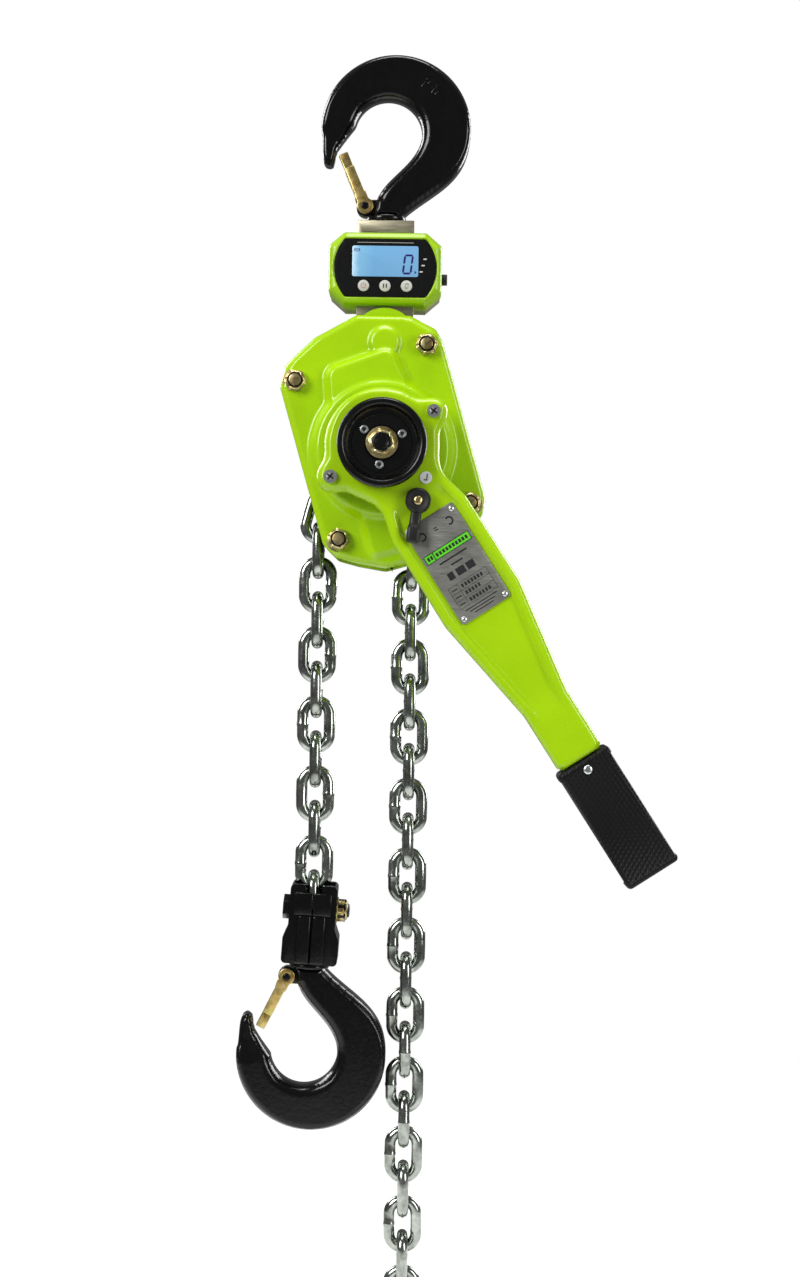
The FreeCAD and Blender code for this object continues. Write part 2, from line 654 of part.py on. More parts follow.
def display():
    keys = [f"{index} * key_pitch" for index in (-1, 0, 1)]
    front = body()
    slab(front, "-display_front", "0", [octagon("0")])
    hollow(front, "-display_front + display_wall", "0", [octagon("display_wall")])
    hollow(front, "-block_deep - gap", "0", [block_hole()])
    lcd_box = [(f"{side} * lcd_wide / 2", f"-lcd_drop + {up} * lcd_high / 2")
               for side, up in ((-1, -1), (-1, 1), (1, 1), (1, -1))]
    hollow(front, "-display_front", "display_wall - display_front", [lcd_box])
    hollow(front, "-display_front", "display_wall - display_front",
           circles=[(key, "-key_drop", "key_radius + gap") for key in keys])
    part(front, "display_front_cover")

    rear = body()
    slab(rear, "0", "display_back", [octagon("0.8")])
    hollow(rear, "0", "display_back - display_wall", [octagon("display_wall + 0.8")])
    hollow(rear, "0", "block_deep + gap", [block_hole()])
    part(rear, "display_rear_cover")

    panel = body()
    slab(panel, "-display_front - panel_thick", "-display_front",
         [[("-43.9", "-display_top - 37.7"), ("-43.9", "-display_top - 20.7"),
           ("-34", "-display_top - 3.7"), ("34", "-display_top - 3.7"),
           ("43.9", "-display_top - 20.7"), ("43.9", "-display_top - 37.7"),
           ("34", "-display_top - 54.2"), ("-34", "-display_top - 54.2")]])
    hollow(panel, "-display_front - panel_thick", "-display_front", [lcd_box])
    hollow(panel, "-display_front - panel_thick", "-display_front",
           circles=[(key, "-key_drop", "key_radius + gap") for key in keys])
    part(panel, "display_panel")

    part(box(("-lcd_wide / 2", "lcd_wide / 2"), ("-display_front - 0.4", "-display_front + 3"),
             ("-lcd_drop - lcd_high / 2", "-lcd_drop + lcd_high / 2")), "lcd_module")
    board = box(("-40", "40"), ("-display_front + 5", "-display_front + 6.6"),
                ("-display_top - 51.7", "-display_top - 9.7"))
    battery = box(("block_half + 3", "display_half - display_wall - 3"), ("-18", "-2"),
                  ("-display_top - 40.7", "-display_top - 14.7"))
    studs = [rod("1.5", "y", "-display_front + 3", "-display_front + 5", side, "-lcd_drop")
             for side in ("-20", "20")]
    tie = box(("block_half + 6", "block_half + 10"), ("-display_front + 6.6", "-18"),
              ("-display_top - 30.7", "-display_top - 26.7"))
    part(union(board, battery, tie, *studs), "display_electronics")
    for key, label in zip(keys, ("power_key", "hold_key", "zero_key")):
        cap = rod("key_radius", "y", "-display_front - panel_thick - 1.2",
                  "-display_front + display_wall + 1", key, "-key_drop")
        flange = rod("key_radius + 1", "y", "-display_front + display_wall",
                     "-display_front + display_wall + 1", key, "-key_drop")
        part(union(cap, flange), label)
    screws = [rod("2.4", "z", "-display_top", "-display_top + 1.6", side, "-12")
              for side in ("-29.5", "29.5")]
    part(group(*screws), "display_screws")
    knurled = rod("4.75", "x", "display_half", "display_half + 5", "-12",
                  "-display_top - 36.3")
    part(knurled, "charge_port_cap")


# ---- hoist frame -----------------------------------------------------------

def stays():
    """The four corners of the frame, about the hub."""
    return [("-stay_left", "stay_up"), ("stay_right", "stay_up"),
            ("stay_right", "-stay_down"), ("-stay_left", "-stay_down")]


def lug_centre():
    """The suspension pin, about the hub in the tilted frame."""
    turn = math.radians(size("body_tilt"))
    rise = size("hub_drop - pin_drop")
    return rise * math.sin(turn), rise * math.cos(turn)


def cover_outline(shrink="0"):
    """The outline of both covers, drawn in by a margin."""
    left, right = f"-(body_left - {shrink})", f"body_right - {shrink}"
    return [(left, "-64"), (left, "76"), (f"-60 + {shrink}", f"91 - {shrink}"),
            (f"-30 + {shrink} / 2", f"106.5 - {shrink}"), ("9.5", f"115.7 - {shrink}"),
            (f"52.4 - {shrink} / 3", f"102.9 - {shrink}"),
            (f"70.3 - {shrink}", f"86.2 - {shrink}"), (right, "75"), (right, "-64"),
            (f"66 - {shrink} / 2", f"-76 + {shrink}"), ("40", f"-89.5 + {shrink}"),
            ("14", f"-body_foot + {shrink}"), ("-24", f"-body_foot + {shrink}"),
            ("-46", f"-86.5 + {shrink}"), (f"-62 + {shrink} / 2", f"-77 + {shrink}")]


def side_plate(front, back, holes, label):
    lug = tuple(f"{value:.4f}" for value in lug_centre())
    plate = body()
    slab(plate, front, back, [cover_outline("5")])
    slab(plate, front, back, circles=[lug + ("lug_radius",)])
    bores = [lug + ("suspension_radius",), ("0", "0", "bearing_radius")]
    bores += [corner + ("stay_radius",) for corner in stays()]
    hollow(plate, front, back, circles=bores + holes)
    hoist_part(plate, label)


GEAR_CENTRE = "module * (small_teeth + large_teeth) / 2"
INNER = "plate_gap / 2"
OUTER = "(plate_gap / 2 + plate_thick)"


def frame():
    pins = [(f"{x:.4f}", f"{z:.4f}", "pawl_pin_radius") for x, z in pawl_pivots()]
    side_plate(f"-{OUTER}", f"-{INNER}", pins, "front_side_plate")
    journals = [(f"{side} * ({GEAR_CENTRE})", "0", "gear_shaft_radius + gap")
                for side in (-1, 1)]
    side_plate(INNER, OUTER, journals, "rear_side_plate")

    lug_x, lug_z = (f"{value:.4f}" for value in lug_centre())
    shank = rod("suspension_radius", "y", f"-{OUTER} - 2", f"{OUTER} + 2", lug_x, lug_z)
    head = rod("suspension_radius + 3", "y", f"-{OUTER} - 4", f"-{OUTER}", lug_x, lug_z)
    hoist_part(union(shank, head), "suspension_pin")

    bolts, nuts = [], []
    for index, (x, z) in enumerate(stays()):
        front = rod("stay_radius", "y", "-cover_front - frame_nut_high - 2", f"-{INNER}", x, z)
        rear = rod("stay_radius", "y", INNER, "gear_back + frame_nut_high + 2", x, z)
        if index < 3:
            middle = rod("spacer_radius", "y", f"-{INNER}", INNER, x, z)
            bolts.append(union(front, middle, rear))
        else:
            bolts += [front, rear]
        for low in ("-cover_front - frame_nut_high", "gear_back"):
            high = f"{low} + frame_nut_high"
            nut = hexagon("frame_nut_flat", "y", low, high, x, z)
            nuts.append(minus(nut, rod("stay_radius", "y", low, high, x, z)))
    hoist_part(group(*bolts), "stay_bolts")
    hoist_part(group(*nuts), "frame_nuts")

    guide = body()
    slab(guide, f"-{INNER}", INNER, [[("-30", "-54"), ("5", "-54"), ("3", "-86"),
                                      ("-26", "-86")]])
    part(put(guide, z="-hub_drop"), "chain_guide")
    rings = [tube("bearing_radius", "journal_radius + gap", "y", low, high)
             for low, high in ((f"-{OUTER}", f"-{INNER}"), (INNER, OUTER))]
    hoist_part(group(*rings), "sheave_bearings")


def covers():
    corners = [corner + ("stay_radius + 4",) for corner in stays()]
    holes = [corner + ("stay_radius",) for corner in stays()]
    brake = body()
    slab(brake, "-cover_front", f"-{OUTER}", [cover_outline()])
    rounded(brake, "8", along_y)
    slab(brake, "-drum_front", "-cover_front", circles=[("0", "0", "drum_radius")])
    hollow(brake, "-cover_front + body_wall", f"-{OUTER}", [cover_outline("body_wall")])
    hollow(brake, "-drum_front + body_wall", "-cover_front + body_wall",
           circles=[("0", "0", "drum_radius - body_wall")])
    hollow(brake, "-drum_front", "-drum_front + body_wall", circles=[("0", "0", "18")])
    slab(brake, "-cover_front + 1", f"-{OUTER}", circles=corners)
    hollow(brake, "-cover_front", f"-{OUTER}", circles=holes)
    hoist_part(brake, "brake_cover")

    gear = body()
    slab(gear, OUTER, "gear_back", [cover_outline()])
    rounded(gear, "8", along_y)
    hollow(gear, OUTER, "gear_back - body_wall", [cover_outline("body_wall")])
    slab(gear, OUTER, "gear_back - 1", circles=corners)
    hollow(gear, OUTER, "gear_back", circles=holes)
    journals = [(f"{side} * ({GEAR_CENTRE})", "0") for side in (-1, 1)]
    slab(gear, "gear_back - 9", "gear_back - 1",
         circles=[at + ("gear_shaft_radius + 4",) for at in journals]
         + [("0", "0", "shaft_radius + 4")])
    hollow(gear, "gear_back - 9", "gear_back - 1.5",
           circles=[at + ("gear_shaft_radius + gap",) for at in journals]
           + [("0", "0", "shaft_radius + gap")])
    hoist_part(gear, "gear_cover")


# ---- sheave and gears ------------------------------------------------------

def load_sheave():
    """The pocket wheel with its groove, one pocket for each lying link."""
    half, wire = size("sheave_half"), size("wire") / 2
    floor = math.sqrt(pitch_circle() ** 2 - (LONG / 2) ** 2) - wire - 1.1
    outside = size("sheave_radius")
    wheel = Part.makeCylinder(outside, 2 * half, Vector(0, -half, 0), AXIS_Y)
    groove = Part.makeCylinder(outside + 1, 2 * wire + 1.5, Vector(0, -wire - 0.75, 0), AXIS_Y)
    core = Part.makeCylinder(size("groove_radius"), 2 * half, Vector(0, -half, 0), AXIS_Y)
    wheel = wheel.cut(groove.cut(core))
    bow, room = size("bow_radius"), size("wire / 2 + gap")
    straight = LONG / 2 - bow
    for index in range(POCKETS):
        pocket = Part.makeBox(2 * straight, 2 * (bow + room), outside,
                              Vector(-straight, -bow - room, floor))
        for side in (-1, 1):
            end = Part.makeCylinder(bow + room, outside, Vector(side * straight, 0, floor))
            pocket = pocket.fuse(end)
        for relief in (-5, 0, 5):
            turned_pocket = pocket.copy()
            turned_pocket.rotate(Vector(), AXIS_Y, 90 - POCKET_PHASE - 90 * index + relief)
            wheel = wheel.cut(turned_pocket)
    outer = size(OUTER)
    journal = size("journal_radius")
    front = Part.makeCylinder(journal, outer - half, Vector(0, -outer, 0), AXIS_Y)
    rear = Part.makeCylinder(journal, outer + 1 - half, Vector(0, half, 0), AXIS_Y)
    neck = Part.makeCylinder(12, 12.5, Vector(0, outer + 1, 0), AXIS_Y)
    bore = Part.makeCylinder(size("shaft_radius + gap"), 200, Vector(0, -100, 0), AXIS_Y)
    return wheel.multiFuse([front, rear, neck]).cut(bore).removeSplitter()


def gear_outline(teeth, first_tooth, backlash):
    """A closed outline of involute teeth about the origin, in the XZ plane."""
    module = size("module")
    pitch_radius = module * teeth / 2
    base = pitch_radius * math.cos(PRESSURE)
    tip, root = pitch_radius + 0.85 * module, pitch_radius - 1.15 * module
    involute = math.tan(PRESSURE) - PRESSURE
    half = math.pi / (2 * teeth) - backlash / (2 * pitch_radius) + involute
    low = max(base, root)
    flank = []
    for step in range(4):
        radius = low + (tip - low) * step / 3
        angle = math.acos(min(1, base / radius))
        flank.append((radius, half - (math.tan(angle) - angle)))
    if root < base:
        flank.insert(0, (root, flank[0][1]))
    points = []
    for tooth in range(teeth):
        middle = first_tooth + 2 * math.pi * tooth / teeth
        points += [(radius, middle - turn) for radius, turn in flank]
        points += [(radius, middle + turn) for radius, turn in reversed(flank)]
    corners = [Vector(r * math.cos(turn), 0, r * math.sin(turn)) for r, turn in points]
    return Part.makePolygon(corners + corners[:1])


def gear(teeth, first_tooth, low, high, x=0):
    """A spur gear between two depths."""
    face = Part.Face(gear_outline(teeth, first_tooth, 0.28))
    face.translate(Vector(x, low, 0))
    return face.extrude(Vector(0, high - low, 0))


def hoist_frame():
    """The placement of what is drawn about the hub in the tilted frame."""
    return Placement(Vector(0, 0, -size("hub_drop")), Rotation(-AXIS_Y, size("body_tilt")))


def gear_train():
    outer, centre = size(OUTER), size(GEAR_CENTRE)
    small, large = int(size("small_teeth")), int(size("large_teeth"))
    first = (outer + 2, outer + 12)
    second = (outer + 14, outer + 22)
    shaped(load_sheave(), "load_sheave", Placement(Vector(0, 0, -size("hub_drop")), Rotation()))
    bore = Part.makeCylinder(12, 20, Vector(0, outer, 0), AXIS_Y)
    shaped(gear(large, 0, *first).cut(bore), "load_gear", hoist_frame())
    radius = size("gear_shaft_radius")
    for side, label in ((-1, "intermediate_gear_left"), (1, "intermediate_gear_right")):
        gap_turn = 0 if side < 0 else math.pi
        pinion = gear(small, gap_turn + math.pi / small, *first, x=side * centre)
        wheel = gear(large, gap_turn + math.pi / large, *second, x=side * centre)
        start = size("plate_gap / 2 + 0.5")
        axle = Part.makeCylinder(radius, size("gear_back - 2") - start,
                                 Vector(side * centre, start, 0), AXIS_Y)
        sleeve = Part.makeCylinder(radius + 1.8, 2.4, Vector(side * centre, outer + 11.8, 0),
                                   AXIS_Y)
        shaped(pinion.multiFuse([wheel, axle, sleeve]), label, hoist_frame())
    shaft_back, shaft_front = size("gear_back - 2"), -size("wheel_front - 4")
    pinion_low, pinion_high = second[0] - 0.5, second[1] + 0.5
    rod_shape = Part.makeCylinder(size("shaft_radius"), pinion_low - shaft_front,
                                  Vector(0, shaft_front, 0), AXIS_Y)
    root = size("module * small_teeth / 2 - 1.15 * module")
    journal = Part.makeCylinder(root - 0.1, shaft_back - pinion_low,
                                Vector(0, pinion_low, 0), AXIS_Y)
    pinion = gear(small, 0, pinion_low, pinion_high)
    shaped(rod_shape.multiFuse([journal, pinion]), "pinion_shaft", hoist_frame())


# ---- load brake ------------------------------------------------------------

PAWL_PIVOT = (34.0, 38.0)     # pivot of a pawl whose tooth is straight above the hub
PAWL_TURNS = (85.0, 265.0)    # degrees from there to the two pawls


def pawl_pivots():
    centres = []
    for degrees in PAWL_TURNS:
        turn = math.radians(degrees)
        x, z = PAWL_PIVOT
        centres.append((x * math.cos(turn) - z * math.sin(turn),
                        x * math.sin(turn) + z * math.cos(turn)))
    return centres


def flat(points, low, high):
    """A plate between two depths from (x, z) points."""
    corners = [Vector(x, low, z) for x, z in points]
    return Part.Face(Part.makePolygon(corners + corners[:1])).extrude(Vector(0, high - low, 0))


def load_brake():
    outer, sleeve, disc = size(OUTER), size("hub_sleeve"), size("disc_radius")
    thick, lining = size("ratchet_thick"), size("friction_thick")
    hub_face = outer + 5
    ratchet_back = hub_face + lining
    ratchet_front = ratchet_back + thick
    clamp_face = ratchet_front + lining

    hub_back = outer + 1.5
    made = turned([("shaft_radius", f"-{hub_back}"), ("disc_radius", f"-{hub_back}"),
                   ("disc_radius", f"-{hub_face}"), ("hub_sleeve", f"-{hub_face}"),
                   ("hub_sleeve", f"-{clamp_face}"), ("shaft_radius", f"-{clamp_face}")])
    hoist_part(made, "brake_hub")
    rings = [tube("disc_radius", "hub_sleeve", "y", f"-{back} - friction_thick", f"-{back}")
             for back in (hub_face, ratchet_front)]
    hoist_part(group(*rings), "friction_discs")

    count, tip = int(size("ratchet_teeth")), size("ratchet_radius")
    points = []
    for tooth in range(count):
        turn = math.radians(90 + 360 * tooth / count)
        points += [((tip - 6) * math.cos(turn), (tip - 6) * math.sin(turn)),
                   (tip * math.cos(turn), tip * math.sin(turn))]
    ratchet = flat(points, -ratchet_front, -ratchet_back)
    bore = Part.makeCylinder(sleeve + 0.3, 100, Vector(0, -100, 0), AXIS_Y)
    turn_first = Placement(Vector(), Rotation(-AXIS_Y, PAWL_TURNS[0]))
    shaped(ratchet.cut(bore), "ratchet_disc", hoist_frame().multiply(turn_first))

    x, z = PAWL_PIVOT
    nose = tip - 5.1
    points = [(0.4, nose), (0.4, nose + 5.7), (28, 47), (38, 42), (40, 34), (33, 32), (28, 36),
              (21, 38.6)]
    pawl = flat(points, -ratchet_front + 0.3, -ratchet_back - 0.3)
    pin = size("pawl_pin_radius")
    pawl = pawl.cut(Part.makeCylinder(pin + 0.2, 100, Vector(x, -100, z), AXIS_Y))
    for degrees, label in zip(PAWL_TURNS, ("brake_pawl_left", "brake_pawl_right")):
        turn = Placement(Vector(), Rotation(-AXIS_Y, degrees))
        shaped(pawl.copy(), label, hoist_frame().multiply(turn))
    pins = [rod("pawl_pin_radius", "y", f"-{ratchet_front + 2}", f"-{INNER}",
                f"{x:.4f}", f"{z:.4f}") for x, z in pawl_pivots()]
    hoist_part(group(*pins), "pawl_pins")

    gear_low, gear_high = size("lever_front - 8"), size("lever_back + 8")
    made = turned([("shaft_radius", f"-{clamp_face}"), ("disc_radius", f"-{clamp_face}"),
                   ("disc_radius", f"-{clamp_face + 3}"), ("17", f"-{clamp_face + 3}"),
                   ("17", f"-{gear_high}"), ("20", f"-{gear_high}"), ("20", f"-{gear_low}"),
                   ("14", f"-{gear_low}"), ("14", "-lever_front - 1.5"),
                   ("shaft_radius", "-lever_front - 1.5")])
    teeth, radius = CHANGE_TEETH, size("change_radius")
    wide, narrow = math.pi / teeth * 0.9, math.pi / teeth * 0.55
    points = []
    for tooth in range(teeth):
        middle = 2 * math.pi * tooth / teeth
        for reach, turn in ((radius - 4, -wide), (radius, -narrow), (radius, narrow),
                            (radius - 4, wide)):
            points.append((reach * math.cos(middle + turn), reach * math.sin(middle + turn)))
    rim = doc.addObject("Part::Feature", "ChangeTeeth")
    ring = flat(points, -gear_low, -gear_high)
    rim.Shape = ring.cut(Part.makeCylinder(12, 200, Vector(0, -150, 0), AXIS_Y))
    hoist_part(union(made, rim), "change_gear")


def hand_wheel():
    face, rim = "-lever_front - 1.5", "-wheel_front"
    made = turned([("shaft_radius", face), ("wheel_radius - 4", face),
                   ("wheel_radius", f"{face} - 3"), ("wheel_radius", f"{rim} + 1.5"),
                   ("wheel_radius - 1.5", rim), ("wheel_radius - 5", rim),
                   ("wheel_radius - 9", f"{rim} + 8"), ("15", f"{rim} + 8.5"),
                   ("13", f"{rim} + 5"), ("shaft_radius", f"{rim} + 5")])
    hoist_part(made, "hand_wheel")
    nut = minus(hexagon("2 * shaft_radius + 3.5", "y", f"{rim} - 1.5", f"{rim} + 5"),
                rod("shaft_radius", "y", f"{rim} - 3", f"{rim} + 5"))
    screws = []
    for index in range(3):
        turn = math.radians(90 + 120 * index)
        screws.append(rod("2.5", "y", f"{rim} + 5.5", f"{rim} + 8.3",
                          f"{18 * math.cos(turn):.4f}", f"{18 * math.sin(turn):.4f}"))
    hoist_part(group(nut, *screws), "hand_wheel_fasteners")


# ---- lever -----------------------------------------------------------------

def arm(margin="0"):
    """The outline of the arm from head to tang, drawn in by a margin."""
    wide, narrow = f"arm_half - {margin}", f"tail_half - {margin}"
    return [(f"-({wide})", "-taper_start"), (f"-({wide})", "-60"), (f"-36 + {margin}", "-28"),
            (f"36 - {margin}", "-28"), (wide, "-60"), (wide, "-taper_start"),
            (narrow, "-taper_end"), (narrow, "-grip_start + 2.5"),
            (f"-({narrow})", "-grip_start + 2.5"), (f"-({narrow})", "-taper_end")]


def lever_shell(front, back, label):
    """One pressed half of the lever. The front half has rails and a recess."""
    is_front = label == "lever_front_shell"
    shell = body()
    ears = [(f"{side} * ear_offset", "0", "ear_radius") for side in (-1, 1)]
    slab(shell, front, back, circles=[("0", "0", "head_radius")])
    slab(shell, front, back, circles=ears[:1])
    slab(shell, front, back, circles=ears[1:])
    rail = "-panel_front - 4" if is_front else front
    rail_back = back if is_front else "-69"
    slab(shell, rail, rail_back, [arm()])
    tang = [("-tang_half", "-grip_end + 8"), ("-tang_half", "-grip_start + 4"),
            ("tang_half", "-grip_start + 4"), ("tang_half", "-grip_end + 8")]
    tang_front, tang_back = (("-lever_split - 7", back) if is_front
                             else (front, "-lever_split + 7"))
    slab(shell, tang_front, tang_back, [tang])
    if is_front:
        recess = [("-30", "-taper_start"), ("-30", "-48"), ("30", "-48"),
                  ("30", "-taper_start"), ("15", "-taper_end + 6"), ("-15", "-taper_end + 6")]
        hollow(shell, rail, "-panel_front", [recess])
    low, high = (("-lever_front + 2.5", back) if is_front else (front, "-lever_back - 2.5"))
    hollow(shell, low, high, circles=[("0", "0", "head_radius - 5")])
    low, high = (("-panel_front + 2.5", back) if is_front else (front, "-71.5"))
    hollow(shell, low, high, circles=[("0", "-selector_offset", "32")])
    hollow(shell, low, high, [[("-30", "-taper_start"), ("-30", "-70"), ("30", "-70"),
                               ("30", "-taper_start"), ("15", "-taper_end"),
                               ("-15", "-taper_end")]])
    bore = "14 + gap" if is_front else "17 + gap"
    hollow(shell, "-lever_front", "-lever_back", circles=[("0", "0", bore)])
    hollow(shell, "-lever_front", "-lever_back",
           circles=[(f"{side} * ear_offset", "0", "3") for side in (-1, 1)])
    if is_front:
        hollow(shell, "-lever_front", "-lever_split",
               circles=[("0", "-selector_offset", "4 + gap")])
        hollow(shell, "-lever_front", "-panel_front",
               circles=[("0", "-selector_offset", "knob_radius + 0.6")])
    lever_part(shell, label)


def lever():
    lever_shell("-lever_front", "-lever_split", "lever_front_shell")
    lever_shell("-lever_split", "-lever_back", "lever_rear_shell")
    ends = ("-grip_end", "-grip_start")
    grip = box(("-grip_half", "grip_half"), ("-lever_split - 16", "-lever_split + 16"), ends)
    hole = box(("-tang_half", "tang_half"), ("-lever_split - 7", "-lever_split + 7"),
               ("-grip_end + 8", "-grip_start"))
    doc.recompute()
    soft = doc.addObject("Part::Fillet", "Rounded")
    soft.Base = grip
    soft.Edges = [(index, 6.0, 6.0) for index, edge in enumerate(grip.Shape.Edges, start=1)
                  if abs(edge.tangentAt(edge.FirstParameter).z) > 0.99]
    lever_part(minus(soft, hole), "lever_grip")
    sheet_plate = box(("-nameplate_half", "nameplate_half"), ("-panel_front - 0.8",
                                                              "-panel_front"),
                      ("-plate_end", "-plate_start"))
    rivets = [rod("2", "y", "-panel_front - 1.8", "-panel_front - 0.8", f"{x} * 19.7", f"-{u}")
              for x in (-1, 1) for u in ("74.5", "157")]
    lever_part(union(sheet_plate, *rivets), "nameplate")
    screws = []
    for side in (-1, 1):
        x = f"{side} * ear_offset"
        screws.append(union(rod("3", "y", "-lever_front", "-lever_back", x),
                            rod("5.5", "y", "-lever_front - 3", "-lever_front", x),
                            hexagon("10", "y", "-lever_back", "-lever_back + 4", x)))
    screws.append(rod("2.2", "y", "-lever_split - 17.2", "-lever_split - 16", "0", "-314.7"))
    lever_part(group(*screws), "lever_screws")
    selector()


def selector():
    """The selector knob and the double pawl on its spindle, about the hub."""
    turn = math.radians(-90 - size("selector_half_turn"))
    pivot = Vector(0, 0, -size("selector_offset"))
    front, panel = -size("panel_front + 13"), -size("panel_front + gap")
    knob = Part.makeCylinder(size("knob_radius"), panel - front, pivot + Vector(0, front, 0),
                             AXIS_Y)
    reach = size("knob_reach")
    handle = Part.makeBox(reach - 5.5, 9, 11, Vector(0, front + 1, -5.5))
    handle = handle.fuse(Part.makeCylinder(5.5, 9, Vector(reach - 5.5, front + 1, 0), AXIS_Y))
    handle.rotate(Vector(), AXIS_Y, -math.degrees(turn))
    handle.translate(pivot)
    spindle = Part.makeCylinder(4, -panel - size("lever_back + 8.5") + 1,
                                pivot + Vector(0, panel - 1, 0), AXIS_Y)
    frame_now = Placement(Vector(0, 0, -size("hub_drop")), Rotation(-AXIS_Y, size("lever_lean")))
    shaped(knob.fuse(handle).fuse(spindle).removeSplitter(), "selector_knob", frame_now)
    tip = size("selector_offset - change_radius") - 0.6
    horns = Part.makeCylinder(8, 12, pivot + Vector(0, -size("lever_split") - 6, 0), AXIS_Y)
    for degrees in (90, 90 - 2 * size("selector_half_turn")):
        horn = Part.makeBox(tip, 12, 8, Vector(0, -size("lever_split") - 6, -4))
        horn = horn.common(Part.makeCylinder(tip, 400, Vector(0, -200, 0), AXIS_Y))
        horn.rotate(Vector(), AXIS_Y, -degrees)
        horn.translate(pivot)
        horns = horns.fuse(horn)
    hole = Part.makeCylinder(4, 400, pivot + Vector(0, -200, 0), AXIS_Y)
    shaped(horns.removeSplitter().cut(hole), "selector_pawl", frame_now)


# ---- bottom yoke -----------------------------------------------------------

def yoke():
    """Two halves that meet beside the last link, clamped by the yoke bolt."""
    for side, label in ((-1, "yoke_left"), (1, "yoke_right")):
        half = body()
        outline = [("0", "yoke_top"), (f"{side} * yoke_half", "yoke_top"),
                   (f"{side} * yoke_half", "-14"), (f"{side} * yoke_wide", "-24"),
                   (f"{side} * yoke_wide", "-yoke_bottom"), ("0", "-yoke_bottom")]
        slab(half, "-yoke_deep", "yoke_deep", [outline])
        rounded(half, "4", lambda edge: along_y(edge) and abs(edge.CenterOfMass.x) > 1)
        hollow(half, "-yoke_deep", "yoke_deep",
               [[(f"{-side}", "yoke_top"), (f"{side} * yoke_slot", "yoke_top"),
                 (f"{side} * yoke_slot", "0"), (f"{-side}", "0")]])
        hollow(half, "-12", "12", [[(f"{-side}", "yoke_top"), (f"{side} * 17.6", "yoke_top"),
                                    (f"{side} * 17.6", "11"), (f"{-side}", "11")]])
        slot = rod(f"(bow_radius + wire / 2) * {ROCK_ROOM:.4f} + gap", "x",
                   "-yoke_slot", "yoke_slot")
        room = rod("15 + gap", "z", "-32.4", "-20.6")
        throat = rod("shank_radius + gap", "z", "-yoke_bottom - 1", "-30")
        bore = rod("yoke_bolt_radius", "x", "-yoke_wide - 1", "yoke_wide + 1")
        yoke_part(minus(half, slot, room, throat, bore), label)
    bolt = union(rod("yoke_bolt_radius", "x", "-yoke_half - 6", "yoke_half + 9"),
                 hexagon("18.5", "x", "-yoke_half - 6", "-yoke_half"),
                 hexagon("17", "x", "yoke_half", "yoke_half + 8"))
    yoke_part(bolt, "yoke_bolt")


def check_and_write():
    """Stops on a failed object, and writes one file for each sub-part."""
    doc.recompute()
    for thing in doc.Objects:
        failed = [state for state in thing.State if state in ("Invalid", "Error")]
        if failed:
            raise RuntimeError(f"{thing.Name} {thing.Label}: {failed}")
    os.makedirs("parts", exist_ok=True)
    for made in parts:
        shape = made.Shape
        if shape.isNull() or not shape.isValid():
            raise RuntimeError(f"{made.Label} has no valid shape")
        shape.exportStep(f"parts/{made.Label}.step")
    print(len(parts), "sub-parts written")


hooks()
load_cell()
display()
frame()
covers()
gear_train()
load_brake()
hand_wheel()
lever()
chain_parts()
yoke()
check_and_write()
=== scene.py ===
import bpy
import bmesh
import json
import math
import numpy as np
from mathutils import Matrix, Vector


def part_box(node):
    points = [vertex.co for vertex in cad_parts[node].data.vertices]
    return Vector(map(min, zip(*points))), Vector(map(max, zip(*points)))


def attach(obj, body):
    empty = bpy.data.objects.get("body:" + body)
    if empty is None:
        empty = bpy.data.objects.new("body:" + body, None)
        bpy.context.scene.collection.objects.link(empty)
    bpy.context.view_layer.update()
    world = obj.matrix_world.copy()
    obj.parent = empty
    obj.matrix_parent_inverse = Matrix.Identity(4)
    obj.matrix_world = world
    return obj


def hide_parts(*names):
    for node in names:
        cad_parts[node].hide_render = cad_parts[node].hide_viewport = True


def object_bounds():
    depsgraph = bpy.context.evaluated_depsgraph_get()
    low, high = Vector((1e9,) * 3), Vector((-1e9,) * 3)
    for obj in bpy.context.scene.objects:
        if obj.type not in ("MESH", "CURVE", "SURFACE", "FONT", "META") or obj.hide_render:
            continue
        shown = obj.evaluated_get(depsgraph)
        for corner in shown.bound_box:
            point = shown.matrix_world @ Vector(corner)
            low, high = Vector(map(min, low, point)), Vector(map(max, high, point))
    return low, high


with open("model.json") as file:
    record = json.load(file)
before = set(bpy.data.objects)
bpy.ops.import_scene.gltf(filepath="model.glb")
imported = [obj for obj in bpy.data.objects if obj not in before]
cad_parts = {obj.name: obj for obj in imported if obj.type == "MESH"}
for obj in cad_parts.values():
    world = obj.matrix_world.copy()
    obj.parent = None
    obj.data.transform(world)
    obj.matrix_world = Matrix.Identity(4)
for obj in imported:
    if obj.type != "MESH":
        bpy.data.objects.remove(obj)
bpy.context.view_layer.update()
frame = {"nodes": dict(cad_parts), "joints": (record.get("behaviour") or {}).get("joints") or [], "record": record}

nodes = frame["nodes"]
bodyOf = {member: body for body, members in frame["record"]["behaviour"]["bodies"].items() for member in members}
jointAt = {joint["name"]: Vector(joint["pos_m"]) for joint in frame["joints"] if "pos_m" in joint}
mm = 0.001

# where the leaning parts stand
hubAt = Vector((0, 0, jointAt["shaft_spin"].z))
bodyLean = math.radians(-16.1)      # the hoist body leans about the hub
leverLean = math.radians(-33.1)     # the lever hangs out to the right
yokeLean = math.radians(3.6)
bodyFrame = Matrix.Translation(hubAt) @ Matrix.Rotation(bodyLean, 4, "Y")
leverFrame = Matrix.Translation(hubAt) @ Matrix.Rotation(leverLean, 4, "Y")
yokeFrame = Matrix.Translation(jointAt["yoke_rock"]) @ Matrix.Rotation(yokeLean, 4, "Y")
towardsFront = Matrix.Rotation(math.radians(90), 4, "X")
towardsRight = Matrix.Rotation(math.radians(90), 4, "Y")


